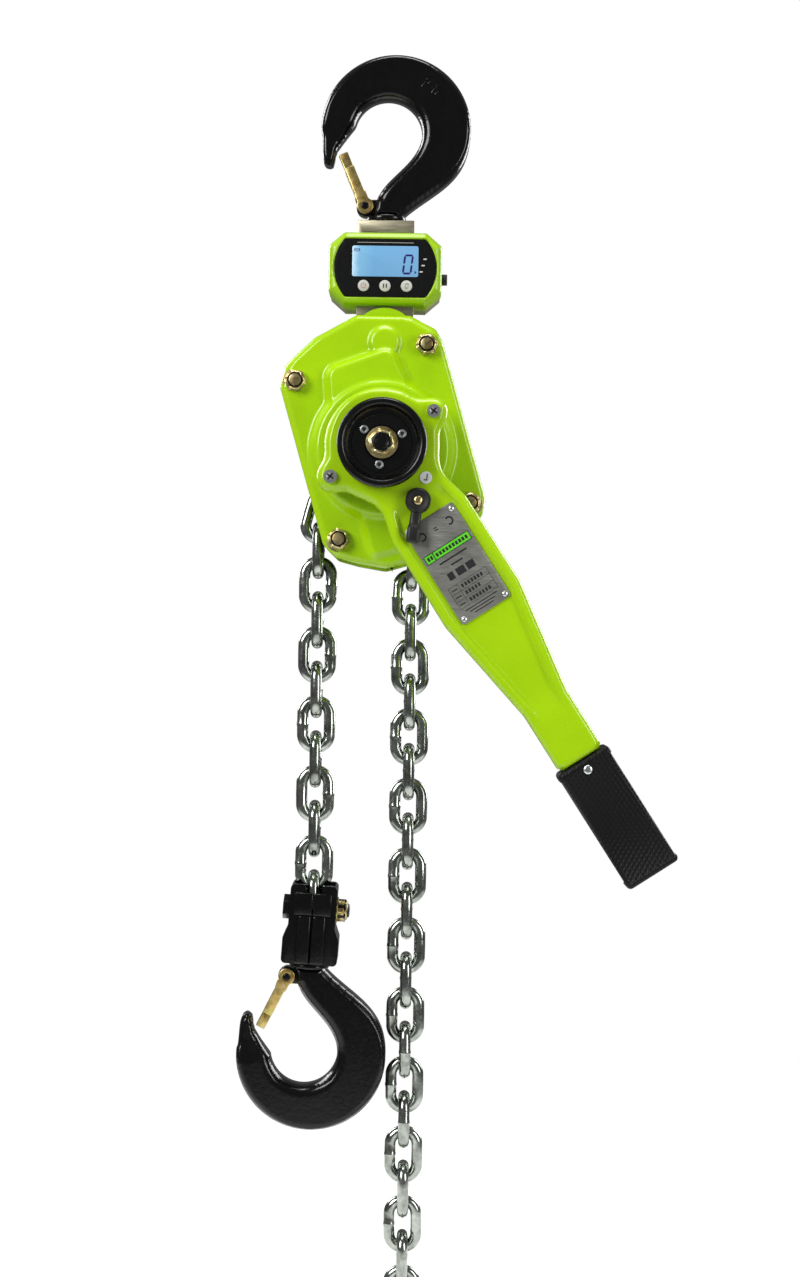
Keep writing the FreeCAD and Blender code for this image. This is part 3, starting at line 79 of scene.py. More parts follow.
def linearColour(code):
    parts = [int(code[i:i + 2], 16) / 255 for i in (1, 3, 5)]
    return tuple(c / 12.92 if c <= 0.04045 else ((c + 0.055) / 1.055) ** 2.4 for c in parts) + (1.0,)


def addNode(tree, kind, inputs=None, stops=(), **settings):
    node = tree.nodes.new(kind)
    for key, value in settings.items():
        setattr(node, key, value)
    for key, value in (inputs or {}).items():
        if isinstance(value, bpy.types.NodeSocket):
            tree.links.new(value, node.inputs[key])
        else:
            node.inputs[key].default_value = value
    if stops:       # the places and colours of a ramp
        elements = node.color_ramp.elements
        while len(elements) < len(stops):
            elements.new(0.5)
        for element, (place, code) in zip(elements, stops):
            element.position, element.color = place, linearColour(code)
    return node


def blankMaterial(name, **shaderValues):
    made = bpy.data.materials.new(name)
    made.use_nodes = True
    tree = made.node_tree
    shader = tree.nodes["Principled BSDF"]
    for key, value in shaderValues.items():
        shader.inputs[key.replace("_", " ")].default_value = value
    return made, tree, shader


def objectPoints(tree, scale, stretch=(1, 1, 1)):
    place = addNode(tree, "ShaderNodeTexCoord")
    return addNode(tree, "ShaderNodeMapping", {"Vector": place.outputs["Object"],
        "Scale": tuple(scale * s for s in stretch)}).outputs["Vector"]


def dressed(tree, shader, colour, worn, rough, relief, strength, depth, band=(0.3, 0.7)):
    # gives the shader its tone, a roughness that follows the wear, and a fine relief in millimetres
    spread = addNode(tree, "ShaderNodeMapRange", {"Value": worn, "From Min": band[0], "From Max": band[1],
        "To Min": rough[0], "To Max": rough[1]})
    bump = addNode(tree, "ShaderNodeBump", {"Height": relief, "Strength": strength, "Distance": depth * mm})
    for source, key in ((colour, "Base Color"), (spread.outputs["Result"], "Roughness"),
            (bump.outputs["Normal"], "Normal")):
        tree.links.new(source, shader.inputs[key])


def finishSurface(name, colours, roughness, spotMm, grainMm, grainHeight, **shaderValues):
    made, tree, shader = blankMaterial(name, **shaderValues)
    tone, grain = (addNode(tree, "ShaderNodeTexNoise", {"Vector": objectPoints(tree, 1000 / wide), "Scale": 1.0,
        "Detail": detail, "Roughness": rough}).outputs["Fac"] for wide, detail, rough in ((spotMm, 4.0, 0.55),
        (grainMm, 3.0, 0.6)))
    ramp = addNode(tree, "ShaderNodeValToRGB", {"Fac": tone}, stops=[(0.32, colours[0]), (0.68, colours[1])])
    dressed(tree, shader, ramp.outputs["Color"], grain, roughness, grain, 0.6, grainHeight)
    return made


print("materials")
# stoved gloss enamel on pressed steel: a clear lime with a faint orange peel under a hard clear shine
limeEnamel = finishSurface("limeEnamel", ("#9bc600", "#a4d003"), (0.22, 0.29), 90, 2.2, 0.02,
    Specular_IOR_Level=0.3, Coat_Weight=0.32, Coat_Roughness=0.05)
# the same enamel on the die-cast display cover, a little duller and rounder in its peel
castEnamel = finishSurface("castEnamel", ("#94be04", "#9dc80a"), (0.28, 0.38), 60, 1.6, 0.03,
    Specular_IOR_Level=0.35, Coat_Weight=0.25, Coat_Roughness=0.1)
# rear display half: grey-beige enamel
greyEnamel = finishSurface("greyEnamel", ("#8d8872", "#9d9983"), (0.35, 0.48), 60, 1.6, 0.03, Coat_Weight=0.2,
    Coat_Roughness=0.2)
# brush-dipped black enamel over a drop forging: deep gloss, with the scale of the forging below it
forgedEnamel = finishSurface("forgedEnamel", ("#030303", "#070707"), (0.12, 0.24), 22, 3.5, 0.22,
    Specular_IOR_Level=0.32, Coat_Weight=0.12, Coat_Roughness=0.05)
# black enamel on turned and cast parts: smoother than on the forging
wheelEnamel = finishSurface("wheelEnamel", ("#050606", "#0a0b0b"), (0.2, 0.3), 30, 1.2, 0.03,
    Specular_IOR_Level=0.3, Coat_Weight=0.08, Coat_Roughness=0.08)
# moulded black nylon knob: satin with a fine spark-eroded grain
blackNylon = finishSurface("blackNylon", ("#0b0b0b", "#121212"), (0.38, 0.52), 20, 0.9, 0.04)
# bright zinc on heat-treated chain: mirror-like metal with darker, smeared patches
brightZinc = finishSurface("brightZinc", ("#7c817a", "#bdc2bb"), (0.08, 0.24), 9, 2.4, 0.035, Metallic=1.0)
# clear zinc on small screws
screwZinc = finishSurface("screwZinc", ("#b9bdbc", "#dfe2e1"), (0.26, 0.38), 3, 0.8, 0.01, Metallic=1.0)
# machined steel bushes and bearings
bearingSteel = finishSurface("bearingSteel", ("#a9adae", "#c6cacb"), (0.16, 0.28), 12, 0.9, 0.01, Metallic=1.0)
# oiled dark steel inside the case
oiledSteel = finishSurface("oiledSteel", ("#3c3d3e", "#5b5c5c"), (0.28, 0.45), 14, 1.4, 0.03, Metallic=1.0)
# hot-rolled side plates, painted black
plateEnamel = finishSurface("plateEnamel", ("#141516", "#1e1f20"), (0.4, 0.55), 25, 1.8, 0.05)
# pressed friction lining: brown composite with coarse flecks
frictionLining = finishSurface("frictionLining", ("#4a3427", "#77604a"), (0.7, 0.85), 1.6, 0.9, 0.05)
# glass-fibre board with solder resist
boardLaminate = finishSurface("boardLaminate", ("#0d4a2a", "#125c35"), (0.35, 0.5), 6, 1.0, 0.02)
# silk-screened keypad film, smooth semi-gloss black polyester
keypadFilm = finishSurface("keypadFilm", ("#030404", "#060707"), (0.22, 0.30), 40, 1.4, 0.006)
# pale grey silicone key
keySilicone = finishSurface("keySilicone", ("#b9b7ad", "#c6c4ba"), (0.42, 0.55), 5, 0.7, 0.01,
    Subsurface_Weight=0.05)
# printed marks: matt ink
blackInk = finishSurface("blackInk", ("#0b0b0c", "#151516"), (0.5, 0.62), 3, 0.6, 0.003)
paleInk = finishSurface("paleInk", ("#b8b8b0", "#c9c9c2"), (0.5, 0.62), 3, 0.6, 0.003)
limeInk = finishSurface("limeInk", ("#52c21a", "#5fd022"), (0.4, 0.5), 3, 0.6, 0.003)
segmentInk = finishSurface("segmentInk", ("#1c1460", "#231a70"), (0.3, 0.4), 2, 0.5, 0.002)
redInk = finishSurface("redInk", ("#a8503f", "#b65c4a"), (0.5, 0.6), 2, 0.5, 0.003)
stickerPaper = finishSurface("stickerPaper", ("#dfe4e0", "#edf1ee"), (0.3, 0.4), 6, 0.8, 0.004)


def passivatedZinc(name, pale, deep, tint, rough):
    # yellow chromate over zinc: gold that drifts to pink and green, with a cloudy bloom
    made, tree, shader = blankMaterial(name, Metallic=1.0)
    cloud, drift, fine = (addNode(tree, "ShaderNodeTexNoise", {"Vector": objectPoints(tree, 1000 / wide),
        "Scale": 1.0, "Detail": detail, "Distortion": swirl}).outputs["Fac"] for wide, detail, swirl in ((7, 3.0,
        0.8), (14, 1.0, 0), (0.8, 2.0, 0)))
    gold = addNode(tree, "ShaderNodeValToRGB", {"Fac": cloud}, stops=[(0.3, deep), (0.62, pale)])
    blush = addNode(tree, "ShaderNodeValToRGB", {"Fac": drift}, stops=[(0.35, "#ffffff"), (0.55, tint),
        (0.75, "#e8ffd8")])
    both = addNode(tree, "ShaderNodeMix", {0: 0.7, 6: gold.outputs["Color"], 7: blush.outputs["Color"]},
        data_type="RGBA", blend_type="MULTIPLY")
    dressed(tree, shader, both.outputs[2], cloud, rough, fine, 0.4, 0.02, (0, 1))
    return made


boltGold = passivatedZinc("boltGold", "#ddd2a0", "#a09058", "#f0dccc", (0.22, 0.42))
latchGold = passivatedZinc("latchGold", "#e0cf8e", "#b39c55", "#f4dcc4", (0.22, 0.42))


def brushedMetal(name, dark, light, strokes, rough, height):
    # drawn with grit in one direction: long fine scratches, read along the piece
    made, tree, shader = blankMaterial(name, Metallic=1.0)
    scratch = addNode(tree, "ShaderNodeTexNoise", {"Vector": objectPoints(tree, 1000 / 0.7, strokes), "Scale": 1.0,
        "Detail": 5.0, "Roughness": 0.7}).outputs["Fac"]
    bloom = addNode(tree, "ShaderNodeTexNoise", {"Vector": objectPoints(tree, 1000 / 26), "Scale": 1.0,
        "Detail": 2.0})
    tone = addNode(tree, "ShaderNodeMath", {0: scratch, 1: bloom.outputs["Fac"]}, operation="ADD")
    half = addNode(tree, "ShaderNodeMath", {0: tone.outputs["Value"], 1: 0.5}, operation="MULTIPLY")
    ramp = addNode(tree, "ShaderNodeValToRGB", {"Fac": half.outputs["Value"]}, stops=[(0.36, dark), (0.64, light)])
    dressed(tree, shader, ramp.outputs["Color"], scratch, rough, scratch, 0.5, height)
    return made


# machined alloy block, drawn across its width, with the warm grey of a thin anodising
cellAlloy = brushedMetal("cellAlloy", "#8b856f", "#b5ae98", (0.04, 1, 1), (0.34, 0.5), 0.02)
# satin aluminium plate, brushed across the lever
plateAlloy = brushedMetal("plateAlloy", "#95958f", "#b9b9b3", (0.05, 1, 0.7), (0.36, 0.5), 0.01)


def grippyRubber():
    # moulded rubber sleeve: fine crossed ribs at a slant, 1.8 mm apart, dull black with a dusty crest
    made, tree, shader = blankMaterial("grippyRubber", Specular_IOR_Level=0.2)
    around = objectPoints(tree, 1000 / 1.8)
    ribs = []
    for lean in (0.62, -0.5):
        turned = addNode(tree, "ShaderNodeVectorRotate", {"Vector": around, "Angle": lean}, rotation_type="Y_AXIS")
        ribs.append(addNode(tree, "ShaderNodeTexWave", {"Vector": turned.outputs["Vector"], "Scale": 0.16,
            "Distortion": 1.6, "Detail": 2.0, "Detail Scale": 1.5}, wave_type="BANDS",
            bands_direction="X").outputs["Fac"])
    high = addNode(tree, "ShaderNodeMath", {0: ribs[0], 1: ribs[1]}, operation="MAXIMUM").outputs["Value"]
    ramp = addNode(tree, "ShaderNodeValToRGB", {"Fac": high}, stops=[(0.2, "#020202"), (0.95, "#0c0c0c")])
    dressed(tree, shader, ramp.outputs["Color"], high, (0.62, 0.42), high, 0.8, 0.35, (0, 1))
    return made


def litScreen():
    # liquid-crystal glass with a blue backlight that is brightest at its left edge
    made, tree, shader = blankMaterial("litScreen", Roughness=0.12, Coat_Weight=0.5, Coat_Roughness=0.03,
        Emission_Strength=0.45)
    low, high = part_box("lcd_module")
    place = addNode(tree, "ShaderNodeTexCoord")
    across = addNode(tree, "ShaderNodeSeparateXYZ", {"Vector": place.outputs["Object"]})
    share = addNode(tree, "ShaderNodeMapRange", {"Value": across.outputs["X"], "From Min": low.x,
        "From Max": high.x})
    grain = addNode(tree, "ShaderNodeTexNoise", {"Vector": objectPoints(tree, 1000 / 9), "Scale": 1.0})
    mixed = addNode(tree, "ShaderNodeMath", {0: grain.outputs["Fac"], 1: 0.12, 2: share.outputs["Result"]},
        operation="MULTIPLY_ADD")
    glow = addNode(tree, "ShaderNodeValToRGB", {"Fac": mixed.outputs["Value"]},
        stops=[(0.03, "#b4cede"), (0.16, "#6d9cbc"), (0.4, "#5f90b6"), (1.0, "#6694b8")])
    for key in ("Base Color", "Emission Color"):
        tree.links.new(glow.outputs["Color"], shader.inputs[key])
    return made


gripRubber = grippyRubber()
screenGlass = litScreen()


def deselectAll():
    if bpy.context.mode != "OBJECT":
        bpy.ops.object.mode_set(mode="OBJECT")
    bpy.ops.object.select_all(action="DESELECT")


def activate(piece):
    deselectAll()
    piece.select_set(True)
    bpy.context.view_layer.objects.active = piece


def inEditMode(piece, work, everything=False):
    activate(piece)
    bpy.ops.object.mode_set(mode="EDIT")
    if everything:
        bpy.ops.mesh.select_all(action="SELECT")
    work()
    bpy.ops.object.mode_set(mode="OBJECT")


def facedOut(piece):
    inEditMode(piece, lambda: bpy.ops.mesh.normals_make_consistent(inside=False), everything=True)


def cutAcross(piece, levels):
    for level in levels:
        inEditMode(piece, lambda: bpy.ops.mesh.bisect(plane_co=(0, 0, level), plane_no=(0, 0, 1)), everything=True)


def applyModifier(piece, kind, **settings):
    activate(piece)
    modifier = piece.modifiers.new(kind.title(), kind)
    for key, value in settings.items():
        setattr(modifier, key, value)
    bpy.ops.object.modifier_apply(modifier=modifier.name)


def softEdges(piece, width, segments=3, angle=35):
    applyModifier(piece, "BEVEL", width=width * mm, segments=segments, limit_method="ANGLE",
        angle_limit=math.radians(angle), use_clamp_overlap=True)
    return piece


def settled(piece, material, body, standsFor=(), place=None, angle=38):
    if place is not None:
        piece.data.transform(place)
    piece.data.materials.clear()
    piece.data.materials.append(material)
    activate(piece)
    bpy.ops.object.shade_smooth_by_angle(angle=math.radians(angle))
    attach(piece, body)
    if standsFor:
        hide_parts(standsFor)


def joined(name, pieces):
    deselectAll()
    for piece in pieces:
        piece.select_set(True)
    bpy.context.view_layer.objects.active = pieces[0]
    if len(pieces) > 1:
        bpy.ops.object.join()
    pieces[0].name = name
    return pieces[0]


def movedCopy(piece, place):
    made = bpy.data.objects.new(piece.name, piece.data.copy())
    bpy.context.scene.collection.objects.link(made)
    made.data.transform(place)
    return made


def thrownAway(patterns):
    for pattern in patterns:
        bpy.data.objects.remove(pattern)


def shifted(piece, x=0, y=0, z=0):
    piece.data.transform(Matrix.Translation((x * mm, y * mm, z * mm)))
    return piece


def keptInMesh(piece):
    # the place goes into the mesh, and the object back to the origin
    piece.data.transform(piece.matrix_world)
    piece.matrix_world = Matrix.Identity(4)
    return piece


def block(wide, deep, high, x=0, y=0, z=0):
    # a block of stock in millimetres, to be shaped further
    deselectAll()
    bpy.ops.mesh.primitive_cube_add(size=1.0)
    made = bpy.context.object
    made.data.transform(Matrix.Diagonal((wide * mm, deep * mm, high * mm, 1)))
    return shifted(made, x, y, z)


def roundBar(sides, radius, long, z=0):
    deselectAll()
    bpy.ops.mesh.primitive_cylinder_add(vertices=sides, radius=radius * mm, depth=long * mm,
        location=(0, 0, z * mm))
    return keptInMesh(bpy.context.object)


def copyOf(node, name):
    made = movedCopy(nodes[node], Matrix.Identity(4))
    made.name = name
    made.data.materials.clear()
    activate(made)
    bpy.ops.mesh.customdata_custom_splitnormals_clear()
    inEditMode(made, lambda: (bpy.ops.mesh.remove_doubles(threshold=0.002 * mm),
        bpy.ops.mesh.dissolve_limited(angle_limit=math.radians(0.6))), everything=True)
    return made


def refined(node, material, edge=0.8, segments=2, angle=35, smooth=38):
    # a CAD node's own shape with its edges broken
    made = copyOf(node, node + "Finished")
    if edge:
        softEdges(made, edge, segments, angle)
    settled(made, material, bodyOf[node], node, angle=smooth)


def blendedMax(a, b, width):
    share = np.clip(0.5 + 0.5 * (a - b) / width, 0, 1)
    return b * (1 - share) + a * share + width * share * (1 - share)


def blendedMin(a, b, width):
    return -blendedMax(-a, -b, width)


def smoothStep(low, high, value):
    share = np.clip((value - low) / (high - low), 0, 1)
    return share * share * (3 - 2 * share)


def runDistance(runs, x, z):
    least = np.full(x.shape, 1e9)
    for ax, az, bx, bz in runs:
        ex, ez = bx - ax, bz - az
        share = np.clip(((x - ax) * ex + (z - az) * ez) / (ex * ex + ez * ez), 0, 1)
        least = np.minimum(least, np.hypot(x - ax - share * ex, z - az - share * ez))
    return least


def insideRuns(runs, x, z):
    inside = np.zeros(x.shape, bool)
    for ax, az, bx, bz in runs:
        if az != bz:
            inside ^= ((az > z) != (bz > z)) & (x < ax + (z - az) * (bx - ax) / (bz - az))
    return inside


def signedDistance(runs, x, z):
    return np.where(insideRuns(runs, x, z), -1, 1) * runDistance(runs, x, z)


def edgeDistance(points, x, z):
    # distance to a closed outline, negative inside
    return signedDistance([(*a, *b) for a, b in zip(points, points[1:] + points[:1])], x, z)


def drawnIn(points, margin):
    # moves each side of an outline inwards
    corners = [Vector(p) for p in points]
    turn = sum(a.x * b.y - b.x * a.y for a, b in zip(corners, corners[1:] + corners[:1]))
    sign = 1 if turn > 0 else -1
    made = []
    for index, corner in enumerate(corners):
        before, after = corners[index - 1], corners[(index + 1) % len(corners)]
        first, second = (corner - before).normalized(), (after - corner).normalized()
        inward = (Vector((-first.y, first.x)) + Vector((-second.y, second.x))) * sign
        reach = margin / max(0.2, inward.length_squared / 2)
        made.append(tuple(corner + inward * reach))
    return made


def cornersOf(mesh):
    flat = np.zeros(len(mesh.vertices) * 3, np.float64)
    mesh.vertices.foreach_get("co", flat)
    return flat.reshape(-1, 3)


def setCorners(mesh, flat):
    mesh.vertices.foreach_set("co", flat.ravel())
    mesh.update()


def pressedSheet(name, distance, height, low, high, cell, facing, foot, wall):
    # a sheet laid out as a fine grid, cut to the outline, drawn to shape and given its rim and its wall
    columns, rows = (max(4, round((high[i] - low[i] + 2 * cell) / cell)) for i in (0, 1))
    deselectAll()
    bpy.ops.mesh.primitive_grid_add(x_subdivisions=columns, y_subdivisions=rows, size=1.0)
    made = bpy.context.object
    made.name = name
    flat = cornersOf(made.data)
    x = (flat[:, 0] + 0.5) * (high[0] - low[0] + 2 * cell) + low[0] - cell
    z = (flat[:, 1] + 0.5) * (high[1] - low[1] + 2 * cell) + low[1] - cell
    outside = distance(x, z) > 0.45 * cell
    setCorners(made.data, np.stack([x, np.zeros(len(x)), z], axis=1))
    # loose corners that belong to a single face are dropped, then the rim is drawn on to the outline
    grid = bmesh.new()
    grid.from_mesh(made.data)
    bmesh.ops.delete(grid, geom=[v for v, gone in zip(list(grid.verts), outside) if gone], context="VERTS")
    for _ in range(3):
        lone = [v for v in grid.verts if len(v.link_faces) < 2]
        if not lone:
            break
        bmesh.ops.delete(grid, geom=lone, context="VERTS")
    rim = [v for v in grid.verts if v.is_boundary]
    rx, rz = (np.array([v.co[i] for v in rim]) for i in (0, 2))
    for _ in range(4):
        d, step = distance(rx, rz), 0.05
        gx = (distance(rx + step, rz) - distance(rx - step, rz)) / (2 * step)
        gz = (distance(rx, rz + step) - distance(rx, rz - step)) / (2 * step)
        length = np.maximum(np.hypot(gx, gz), 0.3)
        rx, rz = rx - d * gx / length ** 2, rz - d * gz / length ** 2
    for vertex, ax, az in zip(rim, rx, rz):
        vertex.co.x, vertex.co.z = ax, az
    grid.to_mesh(made.data)
    grid.free()
    flat = cornersOf(made.data)
    flat[:, 1] = facing * height(flat[:, 0], flat[:, 2], distance(flat[:, 0], flat[:, 2]))
    setCorners(made.data, flat)

    def drawRim():
        bpy.ops.mesh.select_mode(type="EDGE")
        bpy.ops.mesh.select_all(action="DESELECT")
        bpy.ops.mesh.select_non_manifold(extend=False, use_wire=False, use_boundary=True, use_multi_face=False,
            use_non_contiguous=False, use_verts=False)
        bpy.ops.mesh.extrude_region_move(TRANSFORM_OT_translate={"value": (0, -facing, 0)})
    inEditMode(made, drawRim)
    for vertex in made.data.vertices:
        if vertex.select:
            vertex.co.y = facing * foot
    facedOut(made)
    face = max(made.data.polygons, key=lambda p: p.center.y * facing)
    if face.normal.y * facing < 0:
        inEditMode(made, bpy.ops.mesh.flip_normals, everything=True)
    if wall:
        applyModifier(made, "SOLIDIFY", thickness=wall, offset=-1.0)
    made.data.transform(Matrix.Diagonal((mm, mm, mm, 1)))
    return made


# pressed covers of the body
print("covers")
cover = {"corner": 9.0, "edge": 5.5, "plate": 29.0, "face": 45.0, "drumRadius": 59.0, "drumRise": 13.0, "wall": 2.5,
    "rearFace": 62.0, "cell": 1.5, "low": (-70, -97.5), "high": (73.5, 116), "bossAt": 36}
coverOutline = [(-69.5, -64), (-69.5, 76), (-60, 91), (-30, 106.5), (9.5, 115.7), (52.4, 102.9), (70.3, 86.2),
    (73, 75), (73, -64), (66, -76), (40, -89.5), (14, -97), (-24, -97), (-46, -86.5), (-62, -77)]
coverCore = drawnIn(coverOutline, cover["corner"])
pawlBox = drawnIn([(-28, 78), (31, 82), (38, 30), (-38, 30)], 11)
chainBox = drawnIn([(-34, -30), (24, -30), (22, -86), (-33, -86)], 6)


def coverDistance(x, z):
    return edgeDistance(coverCore, x, z) - cover["corner"]


def roundedEdge(d, radius):
    inside = np.clip(radius + d, 0, radius)
    return radius - np.sqrt(np.maximum(radius ** 2 - inside ** 2, 0))


def raisedBy(d, high, slope):
    return high * smoothStep(slope * 0.5, -slope * 0.5, d)


def brakeCoverHeight(x, z, d):
    drum = raisedBy(np.hypot(x, z) - cover["drumRadius"], cover["drumRise"], 11)
    pawls = raisedBy(edgeDistance(pawlBox, x, z) - 11, 10.5, 9)
    chainSide = raisedBy(edgeDistance(chainBox, x, z) - 6, 6.5, 8)
    pinBump = raisedBy(np.hypot(x - 25.5, z - 86.5) - 13.0, 5.0, 6)
    raised = blendedMax(blendedMax(drum, pawls, 4), blendedMax(chainSide, pinBump, 1.5), 3)
    mouth = smoothStep(20, 16.5, np.hypot(x, z)) * 8
    return cover["face"] + raised - mouth - roundedEdge(d, cover["edge"])


def gearCoverHeight(x, z, d):
    housing = raisedBy(np.hypot(x, z) - 42, 4.5, 8)
    for side in (-1, 1):
        fromBoss = np.hypot(x - side * cover["bossAt"], z)
        housing = blendedMax(housing, raisedBy(fromBoss - 29.5, 4.5, 8), 2)
        housing = blendedMax(housing, raisedBy(fromBoss - 9, 7.0, 4), 1)
    housing = blendedMax(housing, raisedBy(np.hypot(x, z) - 13, 7.5, 5), 1)
    dished = raisedBy(edgeDistance(drawnIn(coverOutline, 24), x, z) + 4, 3.0, 9)
    return cover["rearFace"] + housing - dished * (1 - np.clip(housing / 4.5, 0, 1)) - roundedEdge(d, 8)


for name, height, facing, node in (("brakeCoverPressing", brakeCoverHeight, -1, "brake_cover"),
        ("gearCoverPressing", gearCoverHeight, 1, "gear_cover")):
    pressing = pressedSheet(name, coverDistance, height, cover["low"], cover["high"], cover["cell"], facing,
        cover["plate"], cover["wall"])
    settled(pressing, limeEnamel, "hoist_body", node, bodyFrame, 50)

# two pressed shells of the lever
print("lever")
lever = {"head": 47.0, "screwAt": 50.0, "ear": 11.5, "split": 81.0, "headRise": 17.0, "rim": 5.0, "rail": 7.0,
    "panelDrop": 4.4, "screwFace": 98, "rivetAt": -314.7, "wall": 2.5, "cell": 1.35, "low": (-64, -306),
    "high": (64, 50)}
armOutline = [(-36, -155), (-35.5, -72), (-30, -50), (-30, -20), (30, -20), (30, -50), (35.5, -72), (36, -155),
    (20.5, -252), (20.5, -305.2), (-20.5, -305.2), (-20.5, -252)]


def leverDistance(x, z):
    head = np.hypot(x, z) - lever["head"]
    for side in (-1, 1):
        ear = np.hypot(x - side * lever["screwAt"], z) - lever["ear"]
        head = blendedMin(head, ear, 13)
    arm = edgeDistance(drawnIn(armOutline, 3), x, z) - 3
    return blendedMin(head, arm, 9)


def panelMask(z, d):
    along = smoothStep(-46, -62, z) * smoothStep(-268, -236, z)
    return smoothStep(-lever["rail"], -lever["rail"] - 4.5, d) * along


def frontShellHeight(x, z, d):
    rail = lever["headRise"] - 1.2 * smoothStep(-62, -90, z)
    rise = rail - lever["panelDrop"] * panelMask(z, d)
    mouth = smoothStep(16.5, 14.6, np.hypot(x, z)) * 6
    return lever["split"] + rise - mouth - roundedEdge(d, lever["rim"])


def rearShellHeight(x, z, d):
    rise = 12.0 + 5.0 * smoothStep(-70, -52, z)
    along = smoothStep(-74, -92, z) * smoothStep(-262, -236, z)
    groove = 2.6 * smoothStep(-lever["rail"] - 2, -lever["rail"] - 6, d) * along
    mouth = smoothStep(20, 17.6, np.hypot(x, z)) * 8
    return -(lever["split"] - rise + groove + mouth + roundedEdge(d, lever["rim"]))


for name, height, facing, node in (("leverFrontPressing", frontShellHeight, -1, "lever_front_shell"),
        ("leverRearPressing", rearShellHeight, 1, "lever_rear_shell")):
    pressing = pressedSheet(name, leverDistance, height, lever["low"], lever["high"], lever["cell"], facing,
        -facing * lever["split"], lever["wall"])
    settled(pressing, limeEnamel, "lever", node, leverFrame, 50)

# rubber sleeve: a rounded bar with a collar lip, a slightly waisted body and a thick end
grip = {"start": -305.5, "end": -417.0, "half": 24.5, "deep": 16.0, "round": 8.0, "collar": 7.0, "lip": 1.0,
    "foot": 4.0, "step": 1.2}


def makeGrip():
    deselectAll()
    bpy.ops.mesh.primitive_cube_add(size=1.0, location=(0, 0, 0))
    made = bpy.context.object
    made.name = "gripSleeve"
    made.data.transform(Matrix.Diagonal((grip["half"] * 2, grip["deep"] * 2, abs(grip["end"] - grip["start"]), 1)))
    made.data.transform(Matrix.Translation((0, -lever["split"], (grip["start"] + grip["end"]) / 2)))
    collarEnd, footStart = grip["start"] - grip["collar"], grip["end"] + grip["foot"]
    cutAcross(made, (collarEnd, collarEnd - grip["step"], footStart + grip["step"], footStart))
    applyModifier(made, "BEVEL", width=grip["round"], segments=5, limit_method="ANGLE",
        angle_limit=math.radians(60), affect="EDGES")
    low, high = footStart + 1.0, collarEnd - 1.0
    for vertex in made.data.vertices:
        if low < vertex.co.z < high:
            vertex.co.x *= 1 - grip["lip"] / grip["half"]
            vertex.co.y = -lever["split"] + (vertex.co.y + lever["split"]) * (1 - grip["lip"] / grip["deep"])
    made.data.transform(Matrix.Diagonal((mm, mm, mm, 1)))
    return made


settled(makeGrip(), gripRubber, "lever", "lever_grip", leverFrame, 50)


def turnedPart(name, profile, steps=64, along="Y"):
    # a profile of radius and height, spun once round its axis, with its ends closed
    deselectAll()
    bpy.ops.mesh.primitive_plane_add(size=1.0)
    made = bpy.context.object
    made.name = name
    lathe = bmesh.new()
    corners = [lathe.verts.new((radius * mm, 0, height * mm)) for radius, height in profile]
    for first, second in zip(corners, corners[1:]):
        lathe.edges.new((first, second))
    lathe.to_mesh(made.data)
    lathe.free()

    def spinProfile():
        bpy.ops.mesh.select_all(action="SELECT")
        bpy.ops.mesh.spin(steps=steps, angle=2 * math.pi, center=(0, 0, 0), axis=(0, 0, 1))
        bpy.ops.mesh.select_all(action="SELECT")
        bpy.ops.mesh.remove_doubles(threshold=0.002 * mm)
        bpy.ops.mesh.normals_make_consistent(inside=False)
    inEditMode(made, spinProfile)
    if along != "Z":        # heights run towards the front, or to the right
        made.data.transform(towardsFront if along == "Y" else towardsRight)
    return made


def topFaceOnly(piece):
    inEditMode(piece, lambda: (bpy.ops.mesh.select_mode(type="FACE"), bpy.ops.mesh.select_all(action="DESELECT")))
    max(piece.data.polygons, key=lambda p: p.center.z).select = True


def drawnUp(high):
    bpy.ops.mesh.extrude_region_move(TRANSFORM_OT_translate={"value": (0, 0, high * mm)})


def sixSided(turn):
    # the angle from the middle of the nearest flat of a hexagon
    return (turn + math.pi / 6) % (math.pi / 3) - math.pi / 6


bolts = {"flats": 17.0, "nutHigh": 10.0, "stud": 5.0, "front": 45.0, "rear": 62.0}
stays = [(-55.5, 75.0), (59.0, 75.0), (59.0, -63.0), (-55.5, -63.0)]


